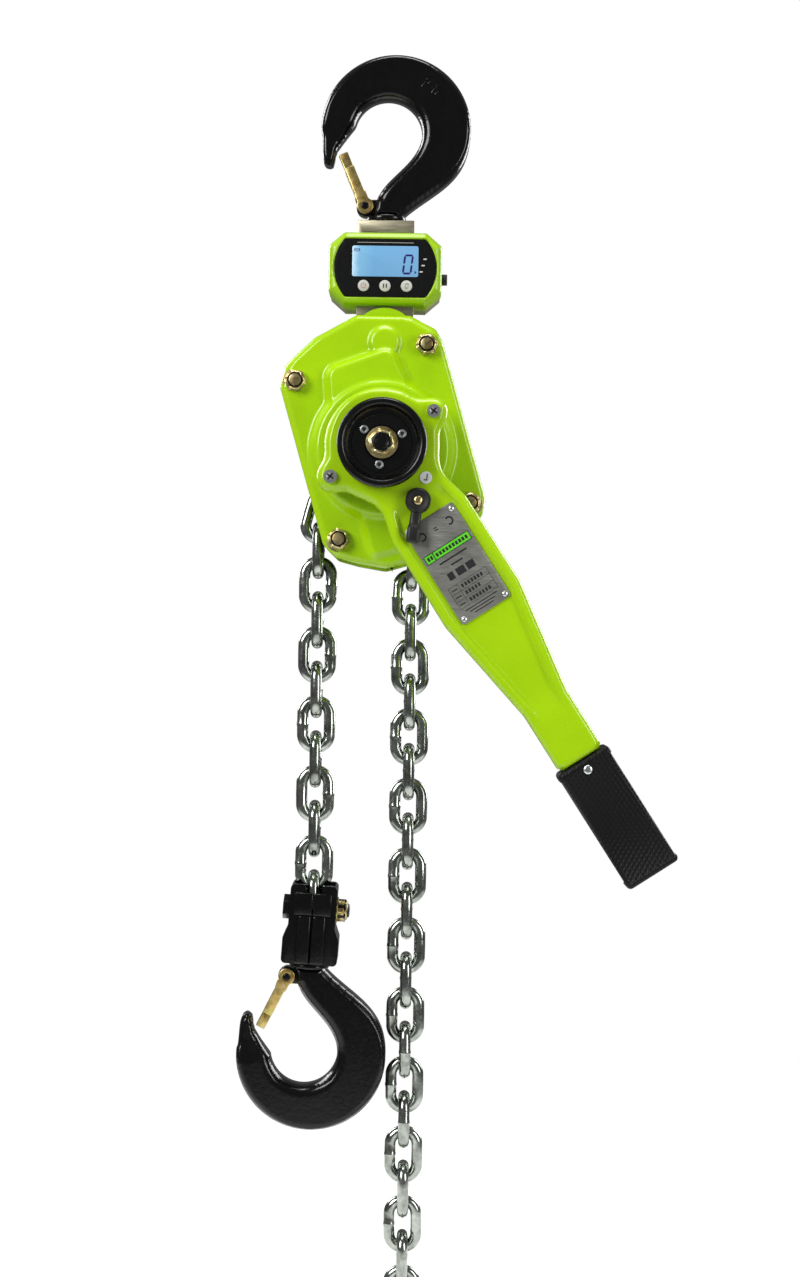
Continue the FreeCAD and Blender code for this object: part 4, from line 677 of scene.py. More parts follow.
def lockNut(name, flats, high, stud, proud):
    # a flanged lock nut: washer face, hexagon with turned corners, a collar that holds a nylon ring, and the stud
    half = flats / 2
    made = roundBar(48, flats / math.sqrt(3), high * 0.62, high * 0.36)
    made.name = name
    for vertex in made.data.vertices:
        turn = math.atan2(vertex.co.y, vertex.co.x)
        flatReach = half / math.cos(sixSided(turn))
        top = vertex.co.z > high * 0.4 * mm
        shrink = min(1.0, min(flatReach, half * 1.075) / flatReach + 0.02) if top else 1.0
        drop = max(0.0, flatReach - half) * (0.55 if top else -0.4)
        vertex.co.x, vertex.co.y = math.cos(turn) * flatReach * mm, math.sin(turn) * flatReach * mm
        vertex.co.z -= drop * mm
        vertex.co.x *= shrink
        vertex.co.y *= shrink
    topFaceOnly(made)

    def drawCollar():
        bpy.ops.mesh.inset(thickness=half * 0.10 * mm)
        drawnUp(high * 0.24)
        bpy.ops.mesh.inset(thickness=half * 0.09 * mm, depth=high * 0.06 * mm)
        bpy.ops.mesh.inset(thickness=half * 0.10 * mm)
        drawnUp(-high * 0.2)
    inEditMode(made, drawCollar)
    softEdges(made, 0.25, 2, 30)
    ring = turnedPart(name + "Ring", [(stud + 0.1, high * 0.72), (stud + 0.1, high * 0.93),
        (stud + 0.5, high * 0.99), (half * 0.74, high * 0.99), (half * 0.78, high * 0.90),
        (half * 0.78, high * 0.72)], 40, along="Z")
    pitch, profile = 1.5, [(0.0, -1.0), (stud - 0.1, -1.0)]
    z = high * 0.9
    while z < high + proud - 1.4:
        profile += [(stud - 0.05, z), (stud - 0.65, z + pitch / 2)]
        z += pitch
    profile += [(stud - 0.1, high + proud - 1.2), (stud - 1.1, high + proud - 0.1), (stud - 2.2, high + proud),
        (0.0, high + proud - 0.2)]
    end = turnedPart(name + "Stud", profile, 40, along="Z")
    washer = turnedPart(name + "Washer", [(stud, 0.0), (half * 1.26, 0.0), (half * 1.29, 0.3), (half * 1.27, 0.9),
        (half * 1.1, 1.2), (stud, 1.2)], 48, along="Z")
    return made, ring, end, washer


print("nuts")
nutParts = lockNut("lockNut", bolts["flats"], bolts["nutHigh"], bolts["stud"], 2.0)
nutBodies, nylonRings, studEnds = [], [], []
for index, (x, z) in enumerate(stays):
    for facing, foot in ((-1, bolts["front"]), (1, bolts["rear"])):
        tip = Matrix.Rotation(math.radians(90 * -facing), 4, "X")
        spin = Matrix.Rotation(math.radians(17 * index + 8), 4, "Z")
        place = bodyFrame @ Matrix.Translation((x * mm, facing * foot * mm, z * mm)) @ (tip @ spin)
        nutBodies += [movedCopy(nutParts[0], place), movedCopy(nutParts[3], place)]
        nylonRings.append(movedCopy(nutParts[1], place))
        studEnds.append(movedCopy(nutParts[2], place))
thrownAway(nutParts)
settled(joined("frameLockNuts", nutBodies), boltGold, "hoist_body", "frame_nuts", angle=32)
settled(joined("nylonRings", nylonRings), blackNylon, "hoist_body")
studs = copyOf("stay_bolts", "stayBoltShanks")
softEdges(studs, 0.5, 2)
settled(joined("stayBolts", [studs] + studEnds), boltGold, "hoist_body", "stay_bolts", angle=32)

# hand wheel: a dished wheel on the shaft, with its nut and three screws
print("hand wheel")
wheel = {"radius": 36.7, "back": 99.5, "rim": 115.0, "bore": 8.2, "screwAt": 18.0, "screwTurn": 128}
aboveBack = [(wheel["bore"], 0), (30.5, 0), (34.6, 0.8), (36.2, 3.4), (wheel["radius"], 6)]
belowRim = [(wheel["radius"], 3.4), (36.1, 1.4), (34.9, 0.3), (33.2, 0), (31.6, 0.5), (30.3, 2.0), (29.4, 4.6),
    (28.9, 6.8), (27.4, 8.1), (24.9, 8.3), (24.4, 7.9), (23.4, 7.9), (22.9, 8.3), (14.6, 8.3), (13.2, 7.0),
    (12.4, 5.2), (wheel["bore"], 5.0)]
wheelProfile = [(radius, wheel["back"] + up) for radius, up in aboveBack]
wheelProfile += [(radius, wheel["rim"] - down) for radius, down in belowRim] + [(wheel["bore"], wheel["back"])]
settled(turnedPart("handWheelDish", wheelProfile, 128), wheelEnamel, "shaft", "hand_wheel",
    bodyFrame, 32)

wheelNut = lockNut("wheelNut", 20.5, 7.0, 7.2, -2.6)
pin = joined("shaftSocket", [turnedPart("socket", [(0, 115.5), (3.8, 115.5), (4.3, 116.3), (5.4, 116.5)], 6),
    turnedPart("socketRim", [(5.0, 115.3), (5.0, 116.35), (5.5, 116.6), (6.9, 116.6), (7.3, 116.3), (7.3, 115.3)],
    48)])
settled(pin, wheelEnamel, "shaft", place=bodyFrame)
place = bodyFrame @ Matrix.Translation((0, -(wheel["rim"] - 5) * mm, 0)) @ towardsFront
gold = [movedCopy(wheelNut[part], place) for part in (0, 3)]
settled(joined("wheelNutBody", gold), boltGold, "shaft", "hand_wheel_fasteners", angle=32)
settled(movedCopy(wheelNut[1], place), blackNylon, "shaft")
thrownAway(wheelNut)


def socketScrew(name, radius, high, recess):
    # cheese head with a rounded rim and a six-sided socket
    made = roundBar(36, radius, high, high / 2)
    made.name = name
    topFaceOnly(made)

    def socket():
        bpy.ops.mesh.inset(thickness=(radius - recess) * mm)
        drawnUp(-high * 0.6)
    inEditMode(made, socket)
    for vertex in made.data.vertices:
        if math.hypot(vertex.co.x, vertex.co.y) < recess * 1.05 * mm:
            side = sixSided(math.atan2(vertex.co.y, vertex.co.x))
            scale = math.cos(math.pi / 6) / math.cos(side) * 1.06
            vertex.co.x *= scale
            vertex.co.y *= scale
    return softEdges(made, 0.35, 2, 50)


screw = socketScrew("wheelScrew", 3.4, 3.0, 1.75)
# a dark hex disc laid over each screw's socket: painted shade, standing for the shadow down inside the socket
socket = turnedPart("socket", [(0, 2.2), (1.9, 2.2), (1.9, 3.04), (0, 3.04)], 6, along="Z")
heads, socketShades = [], []
for index in range(3):
    turn = math.radians(wheel["screwTurn"] + 120 * index)
    at = (wheel["screwAt"] * math.cos(turn) * mm, -(wheel["rim"] - 8.2) * mm,
        wheel["screwAt"] * math.sin(turn) * mm)
    place = bodyFrame @ Matrix.Translation(at) @ towardsFront
    heads.append(movedCopy(screw, place))
    socketShades.append(movedCopy(socket, place))
thrownAway((screw, socket))
settled(joined("wheelScrews", heads), screwZinc, "shaft", angle=32)
settled(joined("wheelScrewSocketShade", socketShades), blackNylon, "shaft", angle=32)

# screws, rivets and the selector on the lever
print("lever fittings")
crossTurns = (0.35, 0.35 + math.pi / 2)


def crossScrew(name, radius, high):
    # pan head with a cross recess
    made = turnedPart(name, [(0, 0), (radius, 0), (radius, high * 0.25), (radius * 0.93, high * 0.6),
        (radius * 0.7, high * 0.88), (radius * 0.35, high), (0, high * 1.03)], 40, along="Z")
    for turn in crossTurns:
        blade = block(radius * 1.25, radius * 0.26, high * 1.3)
        blade.data.transform(Matrix.Rotation(turn, 4, "Z") @ Matrix.Translation((0, 0, high * 1.12 * mm)))
        applyModifier(made, "BOOLEAN", operation="DIFFERENCE", object=blade, solver="EXACT")
        thrownAway([blade])
    return made


pan = crossScrew("panScrew", 5.6, 3.2)
heads, recessShades = [], []
for side in (-1, 1):
    at = (side * lever["screwAt"] * mm, -lever["screwFace"] * mm, 0)
    place = leverFrame @ Matrix.Translation(at) @ towardsFront
    heads.append(movedCopy(pan, place))
    # dark cross bars set into each screw's cross recess: painted shade, standing for the shadow in the recess
    for turn in crossTurns:
        blade = softEdges(block(6.6, 1.3, 1.2), 0.1, 1)
        blade.data.transform(place @ Matrix.Rotation(turn, 4, "Z") @ Matrix.Translation((0, 0, 2.78 * mm)))
        recessShades.append(blade)
thrownAway([pan])
settled(joined("screwRecessShade", recessShades), blackNylon, "lever")
shanks = copyOf("lever_screws", "leverScrewShanks")
settled(joined("leverScrews", [shanks] + heads), screwZinc, "lever", "lever_screws", angle=32)
rivet = turnedPart("gripRivet", [(0, 96.6), (3.6, 96.6), (3.7, 97.2), (3.0, 97.9), (1.9, 98.1), (1.7, 97.6),
    (0, 97.5)], 36)
settled(shifted(rivet, z=lever["rivetAt"]), screwZinc, "lever", place=leverFrame)

selector = {"drop": -55, "lean": 40.5, "front": -100.6, "thumb": 2.2, "waist": 0.86}


def selectorKnob():
    # moulded knob: a round boss with a rolled rim, a dished top and a waisted thumb piece
    boss = turnedPart("selectorBoss", [(0, 93.3), (10.5, 93.3), (10.5, 102.8), (10.0, 104.6), (8.7, 105.8),
        (7.4, 105.6), (5.6, 104.9), (0, 104.9)], 56)
    arm = block(10.6, 8.2, 34, 0, selector["front"], -18.0)
    cutAcross(arm, [level * mm for level in (-10, -19, -23, -27)])
    for vertex in arm.data.vertices:
        z = vertex.co.z / mm
        waisted, front = -20 < z < -9, vertex.co.y < selector["front"] * mm
        vertex.co.x *= selector["waist"] if waisted else 1.0
        if front and z < -21:
            vertex.co.y -= selector["thumb"] * mm
        if front and waisted:
            vertex.co.y += 1.0 * mm
    softEdges(arm, 3.0, 4, 25)
    arm.data.transform(Matrix.Rotation(math.radians(selector["lean"]), 4, "Y"))
    spindle = turnedPart("selectorSpindle", [(0, 74), (4, 74), (4, 94), (0, 94)], 32)
    return shifted(joined("selectorKnobMoulding", [boss, arm, spindle]), z=selector["drop"])


settled(selectorKnob(), blackNylon, "selector", "selector_knob", leverFrame, 40)
centreScrew = turnedPart("selectorScrew", [(0, 104.6), (3.5, 104.6), (3.6, 105.6), (3.0, 106.3), (2.2, 106.5),
    (1.9, 105.9), (0, 105.8)], 32)
settled(shifted(centreScrew, z=selector["drop"]), boltGold, "selector", place=leverFrame)


def flatPlate(name, corners, radius, back, front, edge=0.15):
    # a flat plate from its outline, with rounded corners and broken edges
    deselectAll()
    bpy.ops.mesh.primitive_plane_add(size=1.0)
    made = bpy.context.object
    made.name = name
    sheet = bmesh.new()
    points = [sheet.verts.new((x * mm, -back * mm, z * mm)) for x, z in corners]
    sheet.faces.new(points)
    sheet.to_mesh(made.data)
    sheet.free()

    def drawUp():
        bpy.ops.mesh.select_mode(type="VERT")
        bpy.ops.mesh.select_all(action="SELECT")
        if radius:
            bpy.ops.mesh.bevel(offset=radius * mm, segments=6, affect="VERTICES", profile=0.5)
        bpy.ops.mesh.select_all(action="SELECT")
        bpy.ops.mesh.extrude_region_move(TRANSFORM_OT_translate={"value": (0, -(front - back) * mm, 0)})
        bpy.ops.mesh.select_all(action="SELECT")
        bpy.ops.mesh.normals_make_consistent(inside=False)
    inEditMode(made, drawUp)
    if edge:
        softEdges(made, edge, 2, 50)
    return made


def rectangle(x0, x1, z0, z1):
    return [(x0, z0), (x1, z0), (x1, z1), (x0, z1)]


def stroke(start, end, half, back, front, edge=0, over=0.0):
    # one straight stroke of a sign, from point to point
    (ax, az), (bx, bz) = start, end
    size = math.hypot(bx - ax, bz - az)
    nx, nz = (bz - az) / size * half, (ax - bx) / size * half
    ex, ez = (bx - ax) / size * over, (bz - az) / size * over
    return flatPlate("stroke", [(ax - nx - ex, az - nz - ez), (bx - nx + ex, bz - nz + ez),
        (bx + nx + ex, bz + nz + ez), (ax + nx - ex, az + nz - ez)], 0, back, front, edge)


namePlate = {"back": 92.4, "face": 93.85, "top": -70.0, "foot": -161.0, "half": 23.5, "corner": 3.0}
outline = rectangle(-namePlate["half"], namePlate["half"], namePlate["foot"], namePlate["top"])
plate = flatPlate("namePlateSheet", outline, namePlate["corner"], namePlate["back"], namePlate["face"])
settled(plate, plateAlloy, "lever", "nameplate", leverFrame)
rivetProfile = [(0, 93.6), (2.6, 93.6), (2.55, 94.2), (1.9, 94.9), (0.9, 95.25), (0, 95.3)]
rivetSpots = [(x, z) for x in (-19.7, 19.7) for z in (-74.5, -157)]
rivets = [shifted(turnedPart("plateRivet", rivetProfile, 28), x, 0, z) for x, z in rivetSpots]
settled(joined("plateRivets", rivets), screwZinc, "lever", place=leverFrame)

# generic printing on the plate: two hook signs, a colour band, and rows that stand for data
ink = namePlate["face"] + 0.04


def printedBar(x0, x1, z0, z1, lift=0.0):
    return flatPlate("bar", rectangle(x0, x1, z0, z1), 0, ink - 0.2, ink + lift, 0)


# from, to, height, half its width
rows = [(-21.5, 21.5, -100.5, 3.9), (-13, 13, -108.6, 0.7), (-5, 6, -113.8, 0.7)]
rows += [(left, right, -121.5, 3.2) for left, right in ((-12.5, -7.0), (-4.5, 3.5), (5.2, 12.5))]
rows += [(-18, 18, z, 0.18) for z in (-129.5, -136.0, -142.5, -149.0)]
rows += [(x - 0.18, x + 0.18, -139.25, 9.75) for x in (-18, -9.5, 18)]
for z, end in ((-132.8, 12), (-139.3, 8), (-145.8, 14)):
    rows += [(-16.8, -11, z, 0.5)] + [(x, x + 1.9, z, 1.6) for x in range(-7, end, 3)]
rows += [(-half, half, z, 0.45) for z, half in ((-151.8, 15), (-154.3, 12), (-156.8, 9))]
rows += [(-1.6, 1.6, z, 0.4) for z in (-83.0, -81.0)]
marks = [printedBar(left, right, z - half, z + half) for left, right, z, half in rows]
for side in (-1, 1):
    turns = [math.radians(-125 + step * 31) for step in range(9)]      # most of a circle, open at one side
    arc = [(side * 13 + 3.1 * math.cos(turn), -82.0 + 3.1 * math.sin(turn)) for turn in turns]
    marks += [stroke(start, end, 0.75, ink - 0.2, ink) for start, end in zip(arc, arc[1:])]
settled(joined("platePrint", marks), blackInk, "lever", place=leverFrame)
band = [printedBar(left, right, -103.7, -97.3, 0.05) for left, right in ((-20.8, -13.5), (-12.7, 20.8))]
settled(joined("plateBand", band), limeInk, "lever", place=leverFrame)
band = [printedBar(left, right, -102.2, -98.8, 0.1) for left, right in ((-19.2, -17.3), (-16.4, -14.6))]
band += [printedBar(x, x + 2.1, -102.0, -99.0, 0.1) for x in (-11.2 + 3.1 * step for step in range(10))]
settled(joined("bandMarks", band), blackInk, "lever", place=leverFrame)

dot = turnedPart("inspectionDot", [(0, 97.6), (5.0, 97.6), (5.05, 98.5), (4.9, 98.62), (0, 98.64)], 48)
settled(shifted(dot, 15.5, 0, -42.5), stickerPaper, "lever", place=leverFrame)
tick = ((13.2, -42.9), (14.9, -44.7), (18.2, -40.4))
ticks = [stroke(start, end, 0.45, 98.5, 98.7) for start, end in zip(tick, tick[1:])]
settled(joined("inspectionTick", ticks), blackInk, "lever", place=leverFrame)

# load indicator
print("indicator")
displayLow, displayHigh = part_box("display_front_cover")
display = {"half": 48.0, "chamferX": 12.5, "chamferZ": 11.0, "front": 35.0, "crown": 1.6, "cell": 0.8,
    "screenX": 28, "screenZ": 13}
displayMid = (displayLow.z + displayHigh.z) / 2 / mm
displayRise = (displayHigh.z - displayLow.z) / 2 / mm
displayAt = Matrix.Translation((0, 0, displayMid * mm))
screenLow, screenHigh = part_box("lcd_module")
screenMid = (screenLow.z + screenHigh.z) / 2 / mm


def displayOutline(shrink):
    half, rise = display["half"] - shrink, displayRise - shrink
    cutX, cutZ = display["chamferX"] - shrink * 0.4, display["chamferZ"] - shrink * 0.4
    return [(-half, -rise + cutZ), (-half, rise - cutZ), (-half + cutX, rise), (half - cutX, rise),
        (half, rise - cutZ), (half, -rise + cutZ), (half - cutX, -rise), (-half + cutX, -rise)]


def displayDistance(x, z):
    return edgeDistance(displayOutline(3), x, z) - 3


def panelDistance(x, z, half=43.9, rise=25.2):
    # a lozenge with arcs for its ends
    sagitta = half - 34.0
    radius = (rise ** 2 + sagitta ** 2) / (2 * sagitta)
    rounded = np.hypot(np.maximum(np.abs(x) - (half - radius), 0), z) - radius
    return blendedMax(rounded, np.abs(z) - rise, 1.0)


def displayHeight(x, z, d):
    tray = smoothStep(0.7, -0.5, panelDistance(x, z)) * 1.6
    slope = np.clip((d + 7.0) / 7.0, 0, 1)
    return display["front"] + display["crown"] - tray - 4.2 * slope ** 1.6 - roundedEdge(d, 2.2)


front = pressedSheet("displayFrontCasting", displayDistance, displayHeight, (-48, -displayRise), (48, displayRise),
    display["cell"], -1, 0.0, 2.0)
settled(front, castEnamel, "load_cell", "display_front_cover", displayAt, 42)
refined("display_rear_cover", greyEnamel, 2.2, 4, 30)


def flatPanelHeight(x, z, d):
    return display["front"] + 0.75 - roundedEdge(d, 0.4) * 0.6


panel = pressedSheet("keypadSheet", lambda x, z: panelDistance(x, z, 43.3, 24.7), flatPanelHeight, (-44, -25.2),
    (44, 25.2), 1.0, -1, display["front"] - 0.2, 0)
settled(panel, keypadFilm, "load_cell", "display_panel", displayAt, 42)
face = display["front"] + 0.85
window = rectangle(-display["screenX"], display["screenX"], screenMid - display["screenZ"],
    screenMid + display["screenZ"])
glass = flatPlate("screenGlass", window, 1.6, face - 1.0, face + 0.1, 0.12)
settled(glass, screenGlass, "load_cell", "lcd_module")


def slanted(corners, lean=0.12, base=0.0):
    return [(x + (z - base) * lean, z) for x, z in corners]


def digitZero(left, foot, wide, high, bar):
    # the six outer bars of a seven-segment figure, each a slanted six-sided mark
    gap, half = 0.35, bar / 2
    middle = foot + high / 2
    marks = []
    for z in (foot + half, foot + high - half):
        marks.append([(left + bar * 0.45, z), (left + bar, z - half), (left + wide - bar, z - half),
            (left + wide - bar * 0.45, z), (left + wide - bar, z + half), (left + bar, z + half)])
    for x in (left + half, left + wide - half):
        for z0, z1 in ((foot + bar * 0.5 + gap, middle - gap), (middle + gap, foot + high - bar * 0.5 - gap)):
            marks.append([(x, z0), (x + half, z0 + half), (x + half, z1 - half), (x, z1), (x - half, z1 - half),
                (x - half, z0 + half)])
    return [slanted(corners, base=foot) for corners in marks]


def printedMark(corners, back=face, front=face + 0.16, corner=0):
    return flatPlate("mark", corners, corner, back, front, 0)


def onScreen(x0, x1, z0, z1):
    return rectangle(x0, x1, screenMid + z0, screenMid + z1)


screenMarks = [printedMark(corners) for corners in digitZero(14.0, screenMid - 11.0, 8.2, 17.0, 1.7)]
screenMarks.append(printedMark([(24.9, screenMid - 10.6), (26.6, screenMid - 9.2), (24.9, screenMid - 7.8)]))
battery = [(-26.4, -22.0, 8.2, 8.6), (-26.4, -22.0, 10.4, 10.8), (-26.4, -26.0, 8.2, 10.8),
    (-22.4, -22.0, 8.2, 10.8), (-22.0, -21.4, 9.0, 10.0), (-25.4, -24.8, 8.9, 10.1), (-24.3, -23.7, 8.9, 10.1)]
screenMarks += [printedMark(onScreen(*bar)) for bar in battery]
settled(joined("screenSegments", screenMarks), segmentInk, "load_cell")

# unit pointers beside the screen: three short generic dashes
units = [printedMark(slanted(onScreen(31.6, 34.4, z, z + 1.1), 0.3, screenMid), face - 0.3, face + 0.06, 0.3)
    for z in (1.6, -3.8, -9.2)]
settled(joined("unitMarks", units), paleInk, "load_cell")
rule = printedMark(onScreen(-24, 24, 15.6, 15.9), face - 0.3, face + 0.05)
settled(joined("panelRule", [rule]), paleInk, "load_cell")

for node in ("power_key", "hold_key", "zero_key"):
    low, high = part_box(node)
    at = Matrix.Translation(((low.x + high.x) / 2, 0, (low.z + high.z) / 2))
    top = -low.y / mm
    key = turnedPart(node + "Cap", [(0, 32.4), (5.6, 32.4), (5.6, 33.0), (4.8, 33.1), (4.8, top - 0.6),
        (4.55, top - 0.2), (4.1, top), (0, top + 0.05)], 48)
    settled(key, keySilicone, bodyOf[node], node, at)
    if node == "power_key":     # a broken ring and a short bar
        shapes = [rectangle(-0.25, 0.25, 0.2, 2.9)]
        for step in range(10):
            a, b = (math.radians(125 + (step + k) * 29) for k in (0, 1))
            shapes.append([(reach * math.cos(turn), reach * math.sin(turn)) for reach, turn in ((2.3, a), (2.3, b),
                (1.8, b), (1.8, a))])
    elif node == "hold_key":    # two bars
        shapes = [rectangle(left, left + 1.0, -1.8, 1.8) for left in (-1.7, 0.7)]
    else:                       # a figure nought
        shapes = digitZero(-1.5, -2.1, 2.9, 4.2, 0.55)
    signs = [printedMark(shape, top - 0.05, top + 0.09) for shape in shapes]
    settled(joined(node + "Sign", signs), redInk if node == "power_key" else blackInk, bodyOf[node],
        place=at)
refined("display_electronics", boardLaminate, 0.3, 1)
refined("load_cell_block", cellAlloy, 0.8, 2)

# knurled port cap
low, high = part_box("charge_port_cap")
cap = roundBar(72, 4.75, (high.x - low.x) / mm)
for vertex in cap.data.vertices:
    turn = math.atan2(vertex.co.y, vertex.co.x)
    groove = 1 - 0.045 * (round(turn / (2 * math.pi) * 72) % 3 == 0)
    vertex.co.x, vertex.co.y = vertex.co.x * groove, vertex.co.y * groove
softEdges(cap, 0.45, 2, 60)
cap.name = "portCapKnurled"
settled(cap, blackNylon, bodyOf["charge_port_cap"], "charge_port_cap",
    Matrix.Translation((low + high) / 2) @ towardsRight, 30)
pan = crossScrew("coverScrew", 3.0, 3.0)
spots = [(side * 29.5 * mm, -12 * mm, displayHigh.z + 0.3 * mm) for side in (-1, 1)]
heads = [movedCopy(pan, Matrix.Translation(spot)) for spot in spots]
thrownAway([pan])
settled(joined("coverScrews", heads), boltGold, "load_cell", "display_screws", angle=32)

# forged hooks
print("hooks")
hook = {"half": 15.0, "outerRound": 5.2, "innerRound": 8.5, "noseRound": 3.6, "noseThin": 3.5, "neck": -104.8,
    "collar": 17.0, "shank": 11.0, "pivot": Vector((-18.2, 0, -92.4)), "latchLean": -23.2, "cell": 1.15,
    "bowl": (1, 0, -29), "nose": (-49, 0, -50), "noseHeights": (-56.5, -43, -34, -22),
    "noseReach": (-46.2, -43, -36.6, -26.9), "reach": {"top": 37, "bottom": 20}}
mounts = {mount["name"]: Vector(mount["pos_m"]) for mount in frame["record"]["mounts"]}
hookFrames = {"top": Matrix.Translation(mounts["top_hook_seat"]),
    "bottom": Matrix.Translation(mounts["bottom_hook_seat"]) @ Matrix.Rotation(yokeLean, 4, "Y")
    @ Matrix.Rotation(math.pi, 4, "X")}


def opened(corner, place):
    # the inner side opens a little towards the nose
    local = (place.inverted() @ (corner * mm)) / mm
    if -56 < local.z < -22 and -47 < local.x < -20:
        local.x = min(local.x, float(np.interp(local.z, hook["noseHeights"], hook["noseReach"])))
    moved = (place @ (local * mm)) / mm
    return moved.x, moved.z


def hookRuns(node, centre, place):
    # the outline of the flat face, split into the side that faces the bowl and the rest
    made = copyOf(node, "outline")
    shape = bmesh.new()
    shape.from_mesh(made.data)
    thrownAway([made])
    flat = {f for f in shape.faces if all(abs(v.co.y + hook["half"] * mm) < 0.01 * mm for v in f.verts)}
    runs, sides = [], []
    for edge in shape.edges:
        if len([f for f in edge.link_faces if f in flat]) != 1:
            continue
        a, b = (v.co / mm for v in edge.verts)
        along = (b - a).normalized()
        runs.append((*opened(a, place), *opened(b, place)))
        sides.append(((a + b) / 2, Vector((along.z, 0, -along.x))))
    shape.free()
    px, pz = (np.array([middle[i] + out[i] * 0.05 for middle, out in sides]) for i in (0, 2))
    inner = []
    for run, (middle, out), flip in zip(runs, sides, insideRuns(runs, px, pz)):
        to = centre - middle
        if (-out if flip else out).dot(to.normalized()) > 0.25 and to.length < 62:
            inner.append(run)
    return runs, inner, [run for run in runs if run not in inner]


def bevelDrop(d, wide, deep):
    share = np.clip(1 - d / wide, 0, 1)
    return deep * (1 - np.sqrt(np.maximum(1 - share ** 2, 0)))


def forgeHook(prefix):
    place = hookFrames[prefix]
    node = prefix + "_hook"
    centre, nose = ((place @ (Vector(hook[spot]) * mm)) / mm for spot in ("bowl", "nose"))
    runs, inner, outer = hookRuns(node, centre, place)

    def height(x, z, d):
        # the nose is narrow, so its edges are rounded less
        near = smoothStep(34, 14, np.hypot(x - nose.x, z - nose.z))
        drops = []
        for side, wide in ((inner, hook["innerRound"]), (outer, hook["outerRound"])):
            wide = wide * (1 - near) + hook["noseRound"] * near
            drops.append(bevelDrop(runDistance(side, x, z), wide, wide))
        return hook["half"] - hook["noseThin"] * near - np.maximum(*drops)

    low, high = (tuple(pick(run[i] for run in runs) for i in (0, 1)) for pick in (min, max))
    pieces = [pressedSheet(node + "Side", lambda x, z: signedDistance(runs, x, z), height, low, high, hook["cell"],
        facing, -0.02, 0) for facing in (-1, 1)]
    neck, shank, end = hook["neck"], hook["shank"], hook["neck"] - hook["reach"][prefix]
    collar = turnedPart("collar", [(0, neck + 6), (12.5, neck + 5.5), (16.3, neck + 4.2),
        (hook["collar"], neck + 3.2), (hook["collar"], neck + 0.8), (16.2, neck), (shank, neck), (shank, end + 0.8),
        (shank - 0.8, end), (0, end)], 64, along="Z")
    ear = turnedPart("ear", [(3.1, -5.5), (7.0, -5.5), (7.5, -5.0), (7.5, 5.0), (7.0, 5.5), (3.1, 5.5),
        (3.1, -5.5)], 40)
    ear.data.transform(Matrix.Translation(hook["pivot"] * mm))
    web = softEdges(block(13, 11, 13, hook["pivot"].x + 9.5, 0, hook["pivot"].z), 1.2, 3)
    added = [collar, ear, web]
    if prefix == "bottom":
        added.append(turnedPart("button", [(0, neck - 25.5), (14.2, neck - 25.5), (15, neck - 24.7),
            (15, neck - 15.3), (14.2, neck - 14.5), (0, neck - 14.5)], 48, along="Z"))
    for piece in added:
        piece.data.transform(place)
    settled(joined(node + "Forging", pieces + added), forgedEnamel, bodyOf[node], node, angle=50)


forgeHook("top")
forgeHook("bottom")

# plain raised forging numerals on the top hook
numerals = []
figures = (((0, 9), (4, 9), (4, 5), (0, 5), (0, 0), (4.4, 0)), ((4, 9), (0, 9), (0, 0), (4, 0), (4, 5), (0, 5)))
for index, points in enumerate(figures):
    at = Matrix.Translation(((29 + index * 8.5) * mm, 0, (9.5 - index * 5.5) * mm))
    for start, end in zip(points, points[1:]):
        ridge = stroke(start, end, 0.65, 14.2, 15.5, 0.45, 0.5)
        ridge.data.transform(at @ Matrix.Rotation(math.radians(33), 4, "Y") @ Matrix.Diagonal((0.85, 1, 0.85, 1)))
        numerals.append(ridge)
settled(joined("forgingNumerals", numerals), forgedEnamel, "top_hook")

spring = {"reach": 4.3, "wire": 0.55, "turns": 2.6, "pitch": 3.1, "sides": (-9.3, 6.2)}
for prefix in ("top", "bottom"):
    refined(prefix + "_latch", latchGold, 0.7, 3, 30)
    refined(prefix + "_latch_pin", forgedEnamel, 0.6, 3, 30)
    lean = Matrix.Rotation(math.radians(hook["latchLean"]), 4, "Y")
    place = hookFrames[prefix] @ Matrix.Translation(hook["pivot"] * mm) @ lean
    coils = []
    for across in spring["sides"]:
        deselectAll()
        bpy.ops.mesh.primitive_circle_add(vertices=10, radius=spring["wire"] * mm, fill_type="NOTHING",
            location=(spring["reach"] * mm, 0, 0), rotation=(0, 0, 0))
        coil = keptInMesh(bpy.context.object)
        applyModifier(coil, "SCREW", angle=2 * math.pi * spring["turns"], screw_offset=spring["pitch"] * mm,
            axis="Y", steps=66, render_steps=66, iterations=1)
        coils.append(shifted(coil, 0, across))
    pair = joined(prefix + "LatchSpring", coils)
    inEditMode(pair, lambda: bpy.ops.mesh.fill_holes(sides=12), everything=True)
    facedOut(pair)
    settled(pair, latchGold, bodyOf[prefix + "_latch_spring"], prefix + "_latch_spring", place, 60)

# welded chain: one link, copied to every place of a run
print("chain")
chain = {"bow": 11.6, "wire": 4.85, "straight": 8.4, "weld": 1.075}


def weldedLink():
    # a ring drawn out into a long link, with the upset of its butt weld half way down one side
    deselectAll()
    bpy.ops.mesh.primitive_torus_add(major_segments=44, minor_segments=20, major_radius=chain["bow"] * mm,
        minor_radius=chain["wire"] * mm)
    made = bpy.context.object
    made.data.transform(towardsFront)
    for vertex in made.data.vertices:
        if abs(vertex.co.z) > 0.01 * mm:
            vertex.co.z += math.copysign(chain["straight"] * mm, vertex.co.z)
    cutAcross(made, [level * mm for level in (-1.9, -1.0, 1.0, 1.9)])
    for vertex in made.data.vertices:
        if vertex.co.x > 0 and abs(vertex.co.z) < 1.5 * mm:
            swell = chain["weld"] if abs(vertex.co.z) < 0.5 * mm else 1 + (chain["weld"] - 1) * 0.75
            vertex.co.x = chain["bow"] * mm + (vertex.co.x - chain["bow"] * mm) * swell
            vertex.co.y *= swell
    return made


